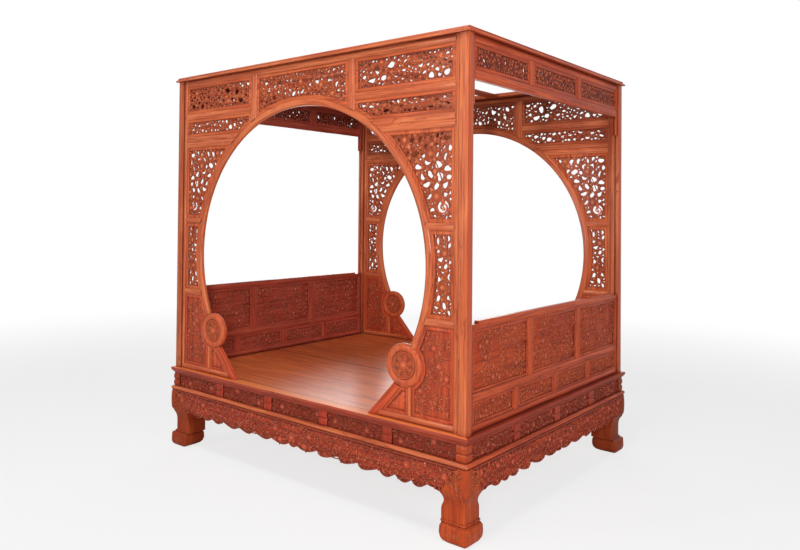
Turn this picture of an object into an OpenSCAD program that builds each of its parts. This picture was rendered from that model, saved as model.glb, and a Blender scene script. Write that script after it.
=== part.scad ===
// Canopy bed with moon gates: waisted base on four hoof legs, four posts, a moon gate
// screen at front and rear, a railing and a frieze at each end, and a flat canopy.
// Millimetres. X runs along the bed, -Y is the front, Z is up, the floor is z = 0.

/* [Overall] */
// Length of the bed over its posts
bed_l = 2200; // [2100:10:2400]
// Depth of the bed over its posts
bed_d = 1890; // [1700:10:2100]
// Height from the floor to the top of the canopy
bed_h = 2384; // [2340:2:2500]
// Height of the sleeping deck
deck_h = 500; // [480:2:530]

/* [Posts] */
// Side of the square corner posts
post_w = 50; // [44:1:60]
// Height of the crown on the outer faces of a post
post_crown = 3; // [1:0.5:5]
// Side of the tenons on posts and legs
tenon_w = 24; // [18:1:28]
// Length of the tenons on posts and legs
tenon_l = 14; // [8:1:16]

/* [Canopy] */
// Thickness of the canopy frame
canopy_t = 25; // [20:1:32]
// How far the canopy stands out past the posts
canopy_out = 14; // [8:1:30]
// Width of the canopy frame
canopy_w = 110; // [90:5:140]
// Width of a canopy batten
batten_w = 80; // [50:5:110]
// Thickness of a canopy batten
batten_t = 16; // [12:1:18]

/* [Platform] */
// Thickness of the platform frame
plat_t = 40; // [36:1:46]
// How far the platform edge stands out past the posts
plat_out = 19; // [12:1:28]
// Width of the platform frame inside the outer plane of the posts
plat_in = 65; // [60:1:90]
// Width of the rebate that carries the deck boards
rebate_w = 15; // [10:1:20]
// Thickness of the deck boards
deck_t = 16; // [12:1:20]
// Distance of the deck seam behind the middle of the bed
deck_seam = -75; // [-200:5:200]
// Width of a deck bearer
bearer_w = 56; // [40:2:80]
// Depth of a deck bearer
bearer_t = 44; // [30:2:60]

/* [Waist] */
// Width of the blocks between the waist panels
waist_block = 58; // [46:1:70]
// Thickness of the waist blocks
waist_block_t = 28; // [22:1:34]
// Thickness of the waist panels
waist_panel_t = 12; // [8:1:16]
// How far the waist panels lie behind the blocks
waist_set = 7; // [3:1:10]
// Height of the waist moulding
mould_t = 25; // [20:1:32]
// How far the waist moulding stands out past the posts
mould_out = 17; // [12:1:24]
// Width of the waist moulding inside the outer plane of the posts
mould_in = 36; // [32:1:44]

/* [Legs and aprons] */
// Height of the underside of the waist moulding
apron_top = 356; // [342:1:362]
// Height of the straight lower edge of the aprons between the lobes
apron_edge = 241; // [232:1:246]
// How far the carved lobes hang below that edge
lobe_drop = 26; // [16:1:30]
// Thickness of the aprons at the edge
apron_t = 30; // [24:1:36]
// How far the aprons and knees swell past the posts
swell = 18; // [12:1:22]
// Side of the leg's column
column_w = 132; // [120:1:140]
// How far the column lies inside the outer plane of the posts
column_in = 10; // [4:1:16]
// Side of the hoof foot
foot_w = 152; // [146:1:164]
// Height of the hoof foot
foot_h = 84; // [64:1:94]
// How much slimmer the leg is where it leaves the arch
waist_in = 16; // [8:1:20]
// Radius of the arch between leg and apron
arch_r = 46; // [38:1:50]
// Width of the leg's shoulder at the top of the apron
knee_w = 40; // [36:1:46]
// How far the mitre between leg and apron runs sideways on its way down, in percent
mitre_run = 80; // [60:5:100]

/* [Screen frames] */
// Thickness of the frame members
frame_t = 30; // [26:1:34]
// Height of the crown on the faces of the frame members
frame_crown = 4; // [1:0.5:5]
// Width of the stiles beside the posts
stile_w = 27; // [22:1:34]
// Width of the muntins
muntin_w = 46; // [36:1:56]
// Height of the ordinary rails
rail_h = 33; // [28:1:38]
// Width of the panel grooves
groove_w = 10.6; // [8:0.2:12]
// Depth of the panel grooves
groove_d = 7; // [5:0.5:8]
// Length of the tongues that sit in the grooves
tongue_l = 6; // [4:0.5:7]
// Gap on each side of a tongue in its groove
tongue_gap = 0.3; // [0.2:0.1:0.5]

/* [Panels] */
// Width of the raised border of a panel
border_w = 21; // [14:1:24]
// Thickness of the raised border
border_t = 20; // [16:1:22]
// Thickness of the carved field
field_t = 13; // [10:1:15]
// Width of a carved scroll stem
stem_w = 9; // [6:0.5:12]

/* [Moon gate] */
// Inner radius of the moon gate
gate_r = 858; // [820:2:870]
// Width of the ring moulding
ring_w = 37; // [30:1:44]
// Thickness of the ring moulding
ring_t = 26; // [22:1:30]
// How far the ring's head laps the rail above it
ring_lap = 6; // [2:1:12]
// Centre of the middle muntins from the middle of the bed
gate_muntin_x = 381; // [340:1:420]
// Radius of the medallions at the ring's feet
medal_r = 107; // [95:1:115]
// Radius of the carved roundel in a medallion
roundel_r = 66; // [50:1:80]
// Thickness of a medallion
medal_t = 36; // [30:1:42]
// Height of the medallion centre above the deck
medal_rise = 274; // [260:2:290]
// Width of the slanting strut under a medallion
strut_w = 41; // [34:1:46]
// Slope of the strut in degrees
strut_slope = 48; // [44:1:52]
// Width of the small upright under a medallion
divider_w = 16; // [12:1:22]

/* [Heights of the screens] */
// Height of the upper openwork panels of the gate frieze
frieze_up_h = 183; // [160:1:190]
// Height of the lower openwork panels of the gate frieze
frieze_low_h = 116; // [100:1:124]
// Height of the spandrel panels
spandrel_h = 454; // [430:2:470]
// Height of the narrow jamb panels
jamb_h = 422; // [400:2:440]
// Height of the end frieze panels
end_frieze_h = 130; // [110:1:160]
// Height of the lower rail of the end frieze
end_rail_h = 45; // [34:1:54]
// How far the frieze stiles hang below the end frieze
hang = 115; // [80:1:150]
// Height of the end railing above the deck
railing_h = 516; // [480:2:540]
// Height of the small lower panels of the railing
railing_low_h = 112; // [90:1:130]
// How much the railing's ends are lower than its middle
rail_step = 12; // [6:1:16]
// Length of the low ends of the railing
rail_step_l = 78; // [60:2:120]

/* [Hidden] */
$fn = 96;

FRONT = 0;
RIGHT = 1;
REAR = 2;
LEFT = 3;
wood = "#a8482a";
wood_light = "#b9562f";
wood_dark = "#8c3a24";
over = 1;

frieze_top = bed_h - canopy_t;
plat_bot = deck_h - plat_t;
waist_bot = apron_top + mould_t;
post_mid = post_w / 2;
stile_in = post_w + stile_w;

// Heights of the gate's rails, from the deck up and from the canopy down
jamb_foot = deck_h + rail_h;
medal_z = deck_h + medal_rise;
frieze_up_top = frieze_top - rail_h - 2;
frieze_up_bot = frieze_up_top - frieze_up_h;
frieze_low_top = frieze_up_bot - rail_h;
frieze_low_bot = frieze_low_top - frieze_low_h;
frieze_bot = frieze_low_bot - rail_h;
spandrel_top = frieze_bot - rail_h;
spandrel_bot = spandrel_top - spandrel_h;
jamb_top = spandrel_bot - rail_h;
jamb_bot = jamb_top - jamb_h;
carved_top = jamb_bot - rail_h;
ring_out = gate_r + ring_w;
ring_mid = gate_r + ring_w / 2;
gate_z = frieze_up_bot + ring_lap - ring_out;
medal_x = sqrt(ring_mid * ring_mid - (gate_z - medal_z) * (gate_z - medal_z));

// Heights of the ends
end_frieze_top = frieze_top - rail_h - 2;
end_frieze_bot = end_frieze_top - end_frieze_h;
end_bot = end_frieze_bot - end_rail_h;
railing_top = deck_h + railing_h;
railing_up_top = railing_top - rail_h - 4;
railing_low_top = jamb_foot + railing_low_h;
railing_up_bot = railing_low_top + rail_h + 3;

function side_len(side) = side % 2 == 0 ? bed_l : bed_d;
function side_off(side) = side % 2 == 0 ? bed_d / 2 : bed_l / 2;
function arc(cx, cy, r, a0, a1, n) = [for (i = [0:n]) let (a = a0 + (a1 - a0) * i / n)
    [cx + r * cos(a), cy + r * sin(a)]];

// Places a member drawn along X with its outer face at y = 0 on one side of the bed
module on_side(side) {
    rotate([0, 0, 90 * side]) translate([0, -side_off(side), 0]) children();
}

// Repeats a member at the left and at the right
module both() {
    children();
    mirror([1, 0, 0]) children();
}

// Turns a drawing into a flat piece that stands on a side, in the middle plane of the posts
module upright(t) {
    translate([0, post_mid, 0]) rotate([90, 0, 0]) linear_extrude(t, center = true) children();
}

// Sweeps a section (y inwards, z up) along the side
module along(length) {
    rotate([90, 0, 90]) linear_extrude(length, center = true) children();
}

// A frame member of four sides with mitred ends
module mitred(length, w, z_lo, z_hi) {
    intersection() {
        along(length) children();
        translate([0, 0, z_lo]) linear_extrude(z_hi - z_lo)
            polygon([[-length / 2, -w[0]], [length / 2, -w[0]],
                [length / 2 - w[0] - w[1], w[1]], [-length / 2 + w[0] + w[1], w[1]]]);
    }
}

// Section of a frame member: crowned faces, grooves in the lower and upper edge
module bar_section(h, t, low, high) {
    crown = min(frame_crown, h / 8);
    r = (h * h / 4 + crown * crown) / (2 * crown);
    difference() {
        intersection() {
            square([t, h], center = true);
            translate([t / 2 - r, 0]) circle(r);
            translate([r - t / 2, 0]) circle(r);
        }
        if (low) translate([0, -h / 2]) square([groove_w, 2 * groove_d], center = true);
        if (high) translate([0, h / 2]) square([groove_w, 2 * groove_d], center = true);
    }
}

// A rail between x0 and x1 with tongues at both ends
module rail(x0, x1, z0, z1, low = true, high = true) {
    translate([(x0 + x1) / 2, post_mid, (z0 + z1) / 2]) {
        along(x1 - x0) bar_section(z1 - z0, frame_t, low, high);
        cube([x1 - x0 + 2 * tongue_l, groove_w - 2 * tongue_gap, z1 - z0 - 2 * groove_d], center = true);
    }
}

// An upright member between z0 and z1, grooved at the left and the right as asked
module stile(x0, x1, z0, z1, left = true, right = true, end_tongues = true) {
    translate([(x0 + x1) / 2, post_mid, z0]) {
        linear_extrude(z1 - z0) rotate(90) bar_section(x1 - x0, frame_t, right, left);
        if (end_tongues) translate([0, 0, (z1 - z0) / 2])
            cube([x1 - x0 - 2 * groove_d, groove_w - 2 * tongue_gap, z1 - z0 + 2 * tongue_l],
                center = true);
    }
}

// A disc through the screen, used to cut members along the ring or a medallion
module disc(x, z, r) {
    translate([x, post_mid, z]) rotate([90, 0, 0]) cylinder(h = 4 * frame_t, r = r, center = true, $fn = 180);
}

// Outer profile of foot, column and knee: [distance inwards from the post plane, height]
foot_out = swell - 4;
function leg_outer() = concat(
    [[14 - foot_out, 0], [1 - foot_out, 16], [-foot_out, foot_h * 0.5], [2 - foot_out, foot_h - 8],
        [7 - foot_out, foot_h - 2], [column_in - 9, foot_h], [column_in - 5, foot_h + 4],
        [column_in - 5, foot_h + 8], [column_in, foot_h + 12]],
    [[column_in, apron_top - 186], [column_in - 2, apron_top - 170], [column_in - 7, apron_top - 154],
        [column_in - 15, apron_top - 138], [column_in - 21, apron_top - 124]],
    [for (i = [0:6]) let (z = apron_top - 112 + 112 * i / 6) [-face_at(z), z]]);
column_far = column_in + column_w;
arch_far = column_far - waist_in;
foot_far = foot_w - foot_out;
arch_z = apron_edge - 5 - arch_r;

// How far the swelling face of knee and apron stands out at a height
function face_at(z) = swell - 5 * pow((z - apron_top + 62) / 74, 2);

// The mitre between leg and apron: distance from the post plane at a height, and where it meets the arch
function mitre_at(z) = knee_w + mitre_run / 100 * (apron_top - z);
arch_turns = [for (i = [0:90]) if (arch_far + arch_r - arch_r * cos(i) < mitre_at(arch_z + arch_r * sin(i))) i];
arch_turn = max(arch_turns);

module leg_outline() {
    polygon(concat(leg_outer(), [[knee_w, apron_top]],
        [for (i = [8:-1:0]) let (a = arch_turn * i / 8)
            [arch_far + arch_r - arch_r * cos(a), arch_z + arch_r * sin(a)]],
        [for (i = [1:5]) let (t = i / 5)
            [arch_far + waist_in * (0.5 - 0.5 * cos(180 * t)), arch_z - 44 * t]],
        [[column_far, foot_h + 12], [column_far + 4, foot_h + 6], [foot_far - 8, foot_h + 2],
        [foot_far - 1, foot_h - 8], [foot_far, foot_h * 0.5], [foot_far - 6, 24], [foot_far - 34, 0]]));
}

// A leg with its neck and tenon, for the front right corner
module leg_shape() {
    reach = 2 * foot_w;
    intersection() {
        translate([0, reach / 2, 0]) rotate([90, 0, 0])
            linear_extrude(2 * reach, center = true) mirror([1, 0]) leg_outline();
        translate([-reach / 2, 0, 0]) rotate([90, 0, 90])
            linear_extrude(2 * reach, center = true) leg_outline();
    }
    translate([-post_w, 0, apron_top]) cube([post_w, post_w, plat_bot - apron_top]);
    translate([-post_mid, post_mid, plat_bot])
        linear_extrude(tenon_l) square(tenon_w, center = true);
}

module at_corner(x, y) {
    mirror([x < 0 ? 1 : 0, 0, 0]) mirror([0, y > 0 ? 1 : 0, 0])
        translate([bed_l / 2, -bed_d / 2, 0]) children();
}

module leg(x, y) {
    color(wood_light) at_corner(x, y) leg_shape();
}

// Lobes of an apron's lower edge on one half: start and end as a share of the clear length, and skew
LOBES_LONG = [[0.03, 0.2, 0.8], [0.205, 0.35, 0.5], [0.37, 0.5, 0.5], [0.512, 0.645, 0.5],
    [0.66, 0.755, 0.8], [0.765, 0.866, 1], [0.872, 0.965, 0.7]];
LOBES_SHORT = [[0.035, 0.22, 0.8], [0.235, 0.43, 0.6], [0.45, 0.6, 0.5], [0.62, 0.73, 0.6],
    [0.735, 0.82, 0.8], [0.828, 0.945, 0.9]];

// Lower edge of the right half of an apron, from the middle out: bud, lobes, arch, mitre
function apron_half(length) = let (half = length / 2, clear = half - arch_far - arch_r,
    lobes = length == bed_l ? LOBES_LONG : LOBES_SHORT) concat(
    [for (a = [0:15:75]) [lobe_drop * 0.9 * sin(a), apron_edge - lobe_drop * 0.9 * cos(a)]],
    [for (lobe = lobes) for (i = [0:12]) let (t = i / 12, f = sin(180 * pow(t, lobe[2])))
        [clear * (lobe[0] + (lobe[1] - lobe[0]) * t), apron_edge - lobe_drop * f]],
    [[clear - 12, arch_z + arch_r]],
    [for (i = [0:6]) let (a = 90 - (90 - arch_turn) * i / 6)
        [half - arch_far - arch_r + arch_r * cos(a), arch_z + arch_r * sin(a)]],
    [[half - knee_w, apron_top]]);

module apron_outline(length) {
    right = apron_half(length);
    n = len(right) - 1;
    polygon(concat([for (i = [n:-1:1]) [-right[i][0], right[i][1]]], right));
}

module apron(side) {
    length = side_len(side);
    color(wood) on_side(side) intersection() {
        along(length) polygon(concat(
            [for (i = [0:8]) let (z = apron_top - 144 + 144 * i / 8) [-face_at(z), z]],
            [[apron_t - swell, apron_top], [apron_t - swell, apron_top - 144]]));
        rotate([90, 0, 0]) linear_extrude(4 * apron_t, center = true) apron_outline(length);
    }
}

module waist_moulding(side) {
    length = side_len(side) + 2 * mould_out;
    r = mould_t / 2;
    color(wood_light) on_side(side) difference() {
        mitred(length, [mould_out, mould_in], apron_top, waist_bot)
            translate([0, apron_top]) {
                translate([r - mould_out, 0]) square([mould_out + mould_in - r, mould_t]);
                translate([r - mould_out, r]) circle(r);
            }
        both() translate([side_len(side) / 2 - post_w, 0, apron_top - over])
            cube([post_w, post_w, mould_t + 2 * over]);
    }
}

function waist_count(side) = side % 2 == 0 ? 5 : 4;
function waist_pitch(side) = (side_len(side) - 2 * post_w + waist_block) / waist_count(side);

module waist_blocks() {
    color(wood_light) for (side = [FRONT:LEFT]) on_side(side)
        for (i = [1:waist_count(side) - 1])
            translate([(i - waist_count(side) / 2) * waist_pitch(side) - waist_block / 2, 0, waist_bot])
                cube([waist_block, waist_block_t, plat_bot - waist_bot]);
}

module waist_panels(side) {
    pitch = waist_pitch(side);
    color(wood_dark) on_side(side)
        for (i = [0:waist_count(side) - 1])
            translate([(i - (waist_count(side) - 1) / 2) * pitch - (pitch - waist_block) / 2,
                waist_set, waist_bot])
                cube([pitch - waist_block, waist_panel_t, plat_bot - waist_bot]);
}

// Platform edge: a square lip on a curve that falls back to the waist, a rebate for the deck
module platform_section() {
    lip = 11;
    fall = plat_t - lip;
    polygon(concat([[-plat_out, deck_h - lip], [-plat_out, deck_h - 2], [2 - plat_out, deck_h],
        [plat_in - rebate_w, deck_h], [plat_in - rebate_w, deck_h - deck_t],
        [plat_in, deck_h - deck_t], [plat_in, plat_bot], [0, plat_bot]],
        [for (i = [1:7]) let (t = i / 8) [-plat_out * (t - sin(360 * t) / 14), plat_bot + fall * t]]));
}

module tenon_hole(z, l) {
    translate([-tenon_w / 2 - tongue_gap, -tenon_w / 2 - tongue_gap, z])
        cube([tenon_w + 2 * tongue_gap, tenon_w + 2 * tongue_gap, l]);
}

module platform_rail(side) {
    color(wood) on_side(side) difference() {
        mitred(side_len(side) + 2 * plat_out, [plat_out, plat_in], plat_bot, deck_h)
            platform_section();
        both() translate([side_len(side) / 2 - post_mid, post_mid, 0]) {
            tenon_hole(plat_bot - over, tenon_l + over + tongue_gap);
            tenon_hole(deck_h - tenon_l - tongue_gap, tenon_l + 2 * over);
        }
    }
}

deck_half_l = bed_l / 2 - plat_in + rebate_w - tongue_gap;
deck_half_d = bed_d / 2 - plat_in + rebate_w - tongue_gap;

module deck_board(y0, y1) {
    color("#b8603f") translate([-deck_half_l, y0, deck_h - deck_t])
        cube([2 * deck_half_l, y1 - y0, deck_t]);
}

module deck_bearers() {
    span = bed_d - 2 * plat_in;
    color(wood_dark) for (i = [-2:2])
        translate([i * (bed_l - 2 * plat_in) / 5 - bearer_w / 2, -span / 2, deck_h - deck_t - bearer_t])
            cube([bearer_w, span, bearer_t]);
}

// Posts: crowned outside, grooved inside for the tongues of the stiles
module post_section() {
    r = (post_w * post_w / 4 + post_crown * post_crown) / (2 * post_crown);
    difference() {
        intersection() {
            translate([-post_w, 0]) square(post_w);
            translate([-r, post_mid]) circle(r);
            translate([-post_mid, r]) circle(r);
        }
        translate([-post_w, post_mid]) square([2 * groove_d, groove_w], center = true);
        translate([-post_mid, post_w]) square([groove_w, 2 * groove_d], center = true);
    }
}

module post(x, y) {
    color(wood_light) at_corner(x, y) {
        translate([0, 0, deck_h]) linear_extrude(frieze_top - deck_h) post_section();
        translate([-post_mid, post_mid, deck_h - tenon_l])
            linear_extrude(frieze_top - deck_h + 2 * tenon_l) square(tenon_w, center = true);
    }
}

// A stile that hugs a post: its outer edge has a tongue for the post's groove
module post_stile(side, z0, z1, end_tongues = true) {
    half = side_len(side) / 2;
    stile(half - stile_in, half - post_w, z0, z1, true, false, end_tongues);
    translate([half - post_w, post_mid, (z0 + z1) / 2])
        cube([2 * tongue_l, groove_w - 2 * tongue_gap, z1 - z0 - 2 * tongue_l], center = true);
}

// Panel areas of the gate, right half, grown by g past the opening (negative: border inside)
stile_x = bed_l / 2 - stile_in;
muntin_out = gate_muntin_x + muntin_w / 2;
muntin_in = gate_muntin_x - muntin_w / 2;

module area(x0, x1, z0, z1, g) {
    translate([x0 - g, z0 - g]) square([x1 - x0 + 2 * g, z1 - z0 + 2 * g]);
}

// Cuts a drawing back to the ring and to the medallion at its foot
module ring_cut(g) {
    difference() {
        children();
        translate([0, gate_z]) circle(ring_out - g, $fn = 180);
        translate([medal_x, medal_z]) circle(medal_r + tongue_gap + max(0, -g));
    }
}

module frieze_up_area(g) area(muntin_out, stile_x, frieze_up_bot, frieze_up_top, g);
module frieze_low_area(g) ring_cut(g) area(muntin_out, stile_x, frieze_low_bot, frieze_low_top, g);
module frieze_mid_area(g) ring_cut(g)
    area(-muntin_in, muntin_in, gate_z + gate_r * 0.8, frieze_up_top, g);
module spandrel_area(g) ring_cut(g) area(gate_r / 2, stile_x, spandrel_bot, spandrel_top, g);
module jamb_area(g) ring_cut(g) area(gate_r / 2, stile_x, jamb_bot, jamb_top, g);

divider_x = medal_x + medal_r * 0.35;
module carved_area(g) ring_cut(g) area(divider_x + divider_w / 2, stile_x, jamb_foot, carved_top, g);

// Region taken by the strut and everything on its open side
strut_x = medal_x - 22;
strut_z = medal_z - 80;
module strut_side(half) {
    translate([strut_x, strut_z]) rotate(strut_slope) translate([-2 * gate_r, -half])
        square([4 * gate_r, gate_r]);
}

module corner_area(g) {
    difference() {
        area(medal_x - 3 * medal_r, divider_x - divider_w / 2, jamb_foot, medal_z, g);
        strut_side(strut_w / 2 + max(0, -g));
        translate([medal_x, medal_z]) circle(medal_r + tongue_gap + max(0, -g));
    }
}

// A spiral stem as one closed outline: its width shrinks as it curls in
function spiral(r, w, turns, a0, n) = concat(
    [for (i = [0:n]) let (t = i / n, a = a0 + 360 * turns * t, q = r * pow(1 - t, 0.75) + w * t)
        [q * cos(a), q * sin(a)]],
    [for (i = [n:-1:0]) let (t = i / n, a = a0 + 360 * turns * t,
        q = r * pow(1 - t, 0.75) + w * t - w * (1 - 0.35 * t)) [q * cos(a), q * sin(a)]]);

// One scroll: the spiral, a bud at its eye and two leaves in the outer corners
module scroll(r, a0, way) {
    mirror([way < 0 ? 1 : 0, 0]) {
        polygon(spiral(r, stem_w, 1.6, a0, 22));
        circle(max(stem_w * 0.9, r * 0.2));
        for (a = [35, 145]) rotate(a0 + a) translate([r * 1.02, 0]) leaf(r * 0.62, r * 0.3);
    }
}

// A leaf between two arcs
module leaf(l, w) {
    r = (l * l + w * w) / (4 * w) * 1.02;
    intersection() {
        translate([0, r - w / 2]) circle(r);
        translate([0, w / 2 - r]) circle(r);
    }
}

// A row of scrolls that fills a strip, each curling the other way than its neighbour
module scroll_row(x0, x1, z0, z1) {
    wide = x1 - x0;
    high = z1 - z0;
    lying = wide >= high;
    n = max(1, round((lying ? wide / high : high / wide)));
    pitch = (lying ? wide : high) / n;
    r = max(pitch, lying ? high : wide) / 2 + 2;
    for (i = [0:n - 1])
        translate([lying ? x0 + (i + 0.5) * pitch : (x0 + x1) / 2,
            lying ? (z0 + z1) / 2 : z0 + (i + 0.5) * pitch])
            scroll(r, lying ? 180 * (i % 2) + 60 : 180 * (i % 2) - 30, i % 2 == 0 ? 1 : -1);
}

// A panel: tongue all round, raised border, carved field; children are area modules' drawings
module framed_panel(pierced) {
    upright(groove_w - 2 * tongue_gap) difference() {
        children(0);
        children(2);
    }
    upright(border_t) difference() {
        children(1);
        children(2);
    }
    upright(field_t) if (pierced) intersection() {
        children(3);
        children(4);
    } else children(3);
}

// Scrolls of the spandrel: inwards, down and radius in hundredths of its height, and turn
module spandrel_scrolls() {
    w = stile_x - border_w;
    top = spandrel_top - border_w;
    u = spandrel_h / 100;
    for (s = [[11.5, 11.5, 12, 0], [33.5, 11, 11.5, 150], [54, 9.7, 10, 20], [70, 8, 8, 200],
        [11, 34.4, 12, 200], [32, 32, 10.6, 60], [10.6, 57, 11.5, 20], [27, 51, 9, 240],
        [9.3, 78, 10, 190], [23, 70, 6.6, 40], [7.5, 92, 7.5, 30]])
        translate([w - u * s[0], top - u * s[1]]) scroll(u * s[2], s[3], s[3] > 100 ? 1 : -1);
}

module frieze_panels() {
    b = border_w;
    color(wood) both() {
        framed_panel(true) {
            frieze_up_area(tongue_l);
            frieze_up_area(0);
            frieze_up_area(-b);
            frieze_up_area(over - b);
            scroll_row(muntin_out + b, stile_x - b, frieze_up_bot + b, frieze_up_top - b);
        }
        framed_panel(true) {
            frieze_low_area(tongue_l);
            frieze_low_area(0);
            frieze_low_area(-b);
            frieze_low_area(over - b);
            scroll_row(muntin_out + b, stile_x - b, frieze_low_bot + b, frieze_low_top - b);
        }
    }
    color(wood) framed_panel(true) {
        frieze_mid_area(tongue_l);
        frieze_mid_area(0);
        frieze_mid_area(-b);
        frieze_mid_area(over - b);
        both() {
            for (s = [[0, 0.36, 0.37, 60, 1], [0.336, 0.38, 0.38, 240, 1], [0.672, 0.33, 0.36, 60, -1],
                [0.76, 0.875, 0.285, 200, 1], [0.525, 0.765, 0.187, 30, -1]])
                translate([gate_muntin_x * s[0], frieze_up_top - b - frieze_up_h * s[1]])
                    scroll(frieze_up_h * s[2], s[3], s[4]);
        }
    }
}

module pierced_panels() {
    b = border_w;
    color(wood) both() {
        framed_panel(true) {
            spandrel_area(tongue_l);
            spandrel_area(0);
            spandrel_area(-b);
            spandrel_area(over - b);
            spandrel_scrolls();
        }
        framed_panel(true) {
            jamb_area(tongue_l);
            jamb_area(0);
            jamb_area(-b);
            jamb_area(over - b);
            scroll_row(ring_out + b - 4, stile_x - b, jamb_bot + b, jamb_top - b);
        }
    }
}

module carved_panels() {
    color(wood) both() {
        framed_panel(false) {
            carved_area(tongue_l);
            carved_area(0);
            carved_area(-border_w);
            carved_area(over - border_w);
        }
        framed_panel(false) {
            corner_area(0);
            corner_area(0);
            corner_area(-border_w / 2);
            corner_area(over - border_w / 2);
        }
    }
}

// Cuts the ends of members along the ring: shoulders on its edge, tongues in its groove
module at_ring() {
    difference() {
        children(0);
        disc(0, gate_z, ring_out);
        disc(medal_x, medal_z, medal_r + tongue_gap);
    }
    difference() {
        children(1);
        disc(0, gate_z, ring_out - tongue_l);
        disc(medal_x, medal_z, medal_r + tongue_gap);
    }
}

module tongue_bar(x0, x1, z0, z1) {
    translate([(x0 + x1) / 2, post_mid, (z0 + z1) / 2])
        cube([x1 - x0, groove_w - 2 * tongue_gap, z1 - z0 - 2 * groove_d], center = true);
}

module ring_rail(z0, z1, low = true, high = true) {
    at_ring() {
        rail(gate_r / 3, stile_x, z0, z1, low, high);
        tongue_bar(gate_r / 3, stile_x, z0, z1);
    }
}

module frieze_frame() {
    color(wood_light) {
        rail(-stile_x, stile_x, frieze_up_top, frieze_top, true, false);
        both() {
            rail(muntin_out, stile_x, frieze_low_top, frieze_up_bot);
            ring_rail(frieze_bot, frieze_low_bot, false, true);
            post_stile(FRONT, frieze_bot, frieze_top, false);
            difference() {
                stile(muntin_in, muntin_out, gate_z + gate_r * 0.8, frieze_up_top);
                disc(0, gate_z, ring_out);
            }
            difference() {
                translate([gate_muntin_x, post_mid, gate_z + gate_r])
                    cube([muntin_w - 2 * groove_d, groove_w - 2 * tongue_gap, gate_r / 3], center = true);
                disc(0, gate_z, ring_out - tongue_l);
                translate([0, 0, frieze_up_top]) cube(bed_l, center = false);
            }
        }
    }
}

module jamb_frames() {
    color(wood_light) both() {
        ring_rail(spandrel_top, frieze_bot, true, false);
        ring_rail(jamb_top, spandrel_bot);
        ring_rail(carved_top, jamb_bot);
        post_stile(FRONT, deck_h, frieze_bot, false);
        difference() {
            rail(medal_x - 3 * medal_r, stile_x, deck_h, jamb_foot, false, true);
            upright(4 * frame_t) strut_side(strut_w / 2);
        }
        difference() {
            union() {
                stile(divider_x - divider_w / 2, divider_x + divider_w / 2, jamb_foot, medal_z,
                    false, false, false);
                translate([divider_x, post_mid, jamb_foot])
                    cube([divider_w - 4, groove_w + over, 3 * groove_d], center = true);
            }
            disc(medal_x, medal_z, medal_r + tongue_gap);
        }
    }
}

// Ring moulding: rounded faces, a groove in its outer edge
module ring_section() {
    difference() {
        translate([gate_r, -ring_t / 2]) polygon([[0, 5], [4, 1.5], [9, 0], [ring_w - 9, 0],
            [ring_w - 4, 1.5], [ring_w, 4], [ring_w, ring_t - 4], [ring_w - 4, ring_t - 1.5],
            [ring_w - 9, ring_t], [9, ring_t], [4, ring_t - 1.5], [0, ring_t - 5]]);
        translate([ring_out, 0]) square([2 * groove_d, groove_w], center = true);
    }
}

module full_ring() {
    translate([0, post_mid, gate_z]) rotate([90, 0, 0]) rotate_extrude($fn = 180) ring_section();
}

module arch() {
    color(wood_light) intersection() {
        full_ring();
        translate([-bed_l / 2, -frame_t, frieze_bot]) cube([bed_l, 4 * frame_t, bed_h - frieze_bot]);
    }
}

module ring_side() {
    color(wood_light) difference() {
        intersection() {
            full_ring();
            translate([gate_r / 3, -frame_t, medal_z]) cube([gate_r, 4 * frame_t, frieze_bot - medal_z]);
        }
        disc(medal_x, medal_z, medal_r);
    }
}

// Medallion: rounded rim, sunken ground and a low boss on both faces
module medallion_section() {
    h = medal_t / 2;
    polygon(concat([[0, 0], [0, h - 5], [roundel_r * 0.3, h - 5], [roundel_r * 0.55, h - 8],
        [roundel_r, h - 8], [roundel_r + 5, h]],
        arc(medal_r - 10, h - 10, 10, 90, 0, 6), [[medal_r, 0]]));
}

module medallions() {
    color(wood_light) both() translate([medal_x, post_mid, medal_z]) rotate([90, 0, 0])
        for (face = [0, 1]) mirror([0, 0, face]) rotate_extrude($fn = 120) medallion_section();
}

module struts() {
    color(wood_light) both() difference() {
        translate([0, post_mid, 0]) intersection() {
            translate([strut_x, 0, strut_z]) rotate([0, -strut_slope, 0])
                along(8 * medal_r) bar_section(strut_w, frame_t, false, false);
            translate([0, -frame_t, deck_h]) cube([bed_l / 2, 2 * frame_t, medal_z - deck_h]);
        }
        disc(medal_x, medal_z, medal_r);
    }
}

// End frieze: three openwork panels, stiles that hang below it beside the posts
end_x = bed_d / 2 - stile_in;
end_third = (2 * end_x + muntin_w) / 3;

module end_frieze_frame() {
    color(wood_light) {
        rail(-end_x, end_x, end_frieze_top, frieze_top, true, false);
        rail(-end_x, end_x, end_bot, end_frieze_bot, false, true);
        both() post_stile(RIGHT, end_bot - hang, frieze_top, false);
        for (s = [-1, 1])
            stile(s * end_third / 2 - muntin_w / 2, s * end_third / 2 + muntin_w / 2,
                end_frieze_bot, end_frieze_top);
    }
}

module end_frieze_panels() {
    b = border_w;
    half = (end_third - muntin_w) / 2;
    color(wood) for (i = [-1:1]) translate([i * end_third, 0, 0]) framed_panel(true) {
        area(-half, half, end_frieze_bot, end_frieze_top, tongue_l);
        area(-half, half, end_frieze_bot, end_frieze_top, 0);
        area(-half, half, end_frieze_bot, end_frieze_top, -b);
        area(-half, half, end_frieze_bot, end_frieze_top, over - b);
        scroll_row(b - half, half - b, end_frieze_bot + b, end_frieze_top - b);
    }
}

// End railing: three large panels over four small ones, its top rail stepped at the ends
end_quarter = (2 * end_x + muntin_w) / 4;

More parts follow.
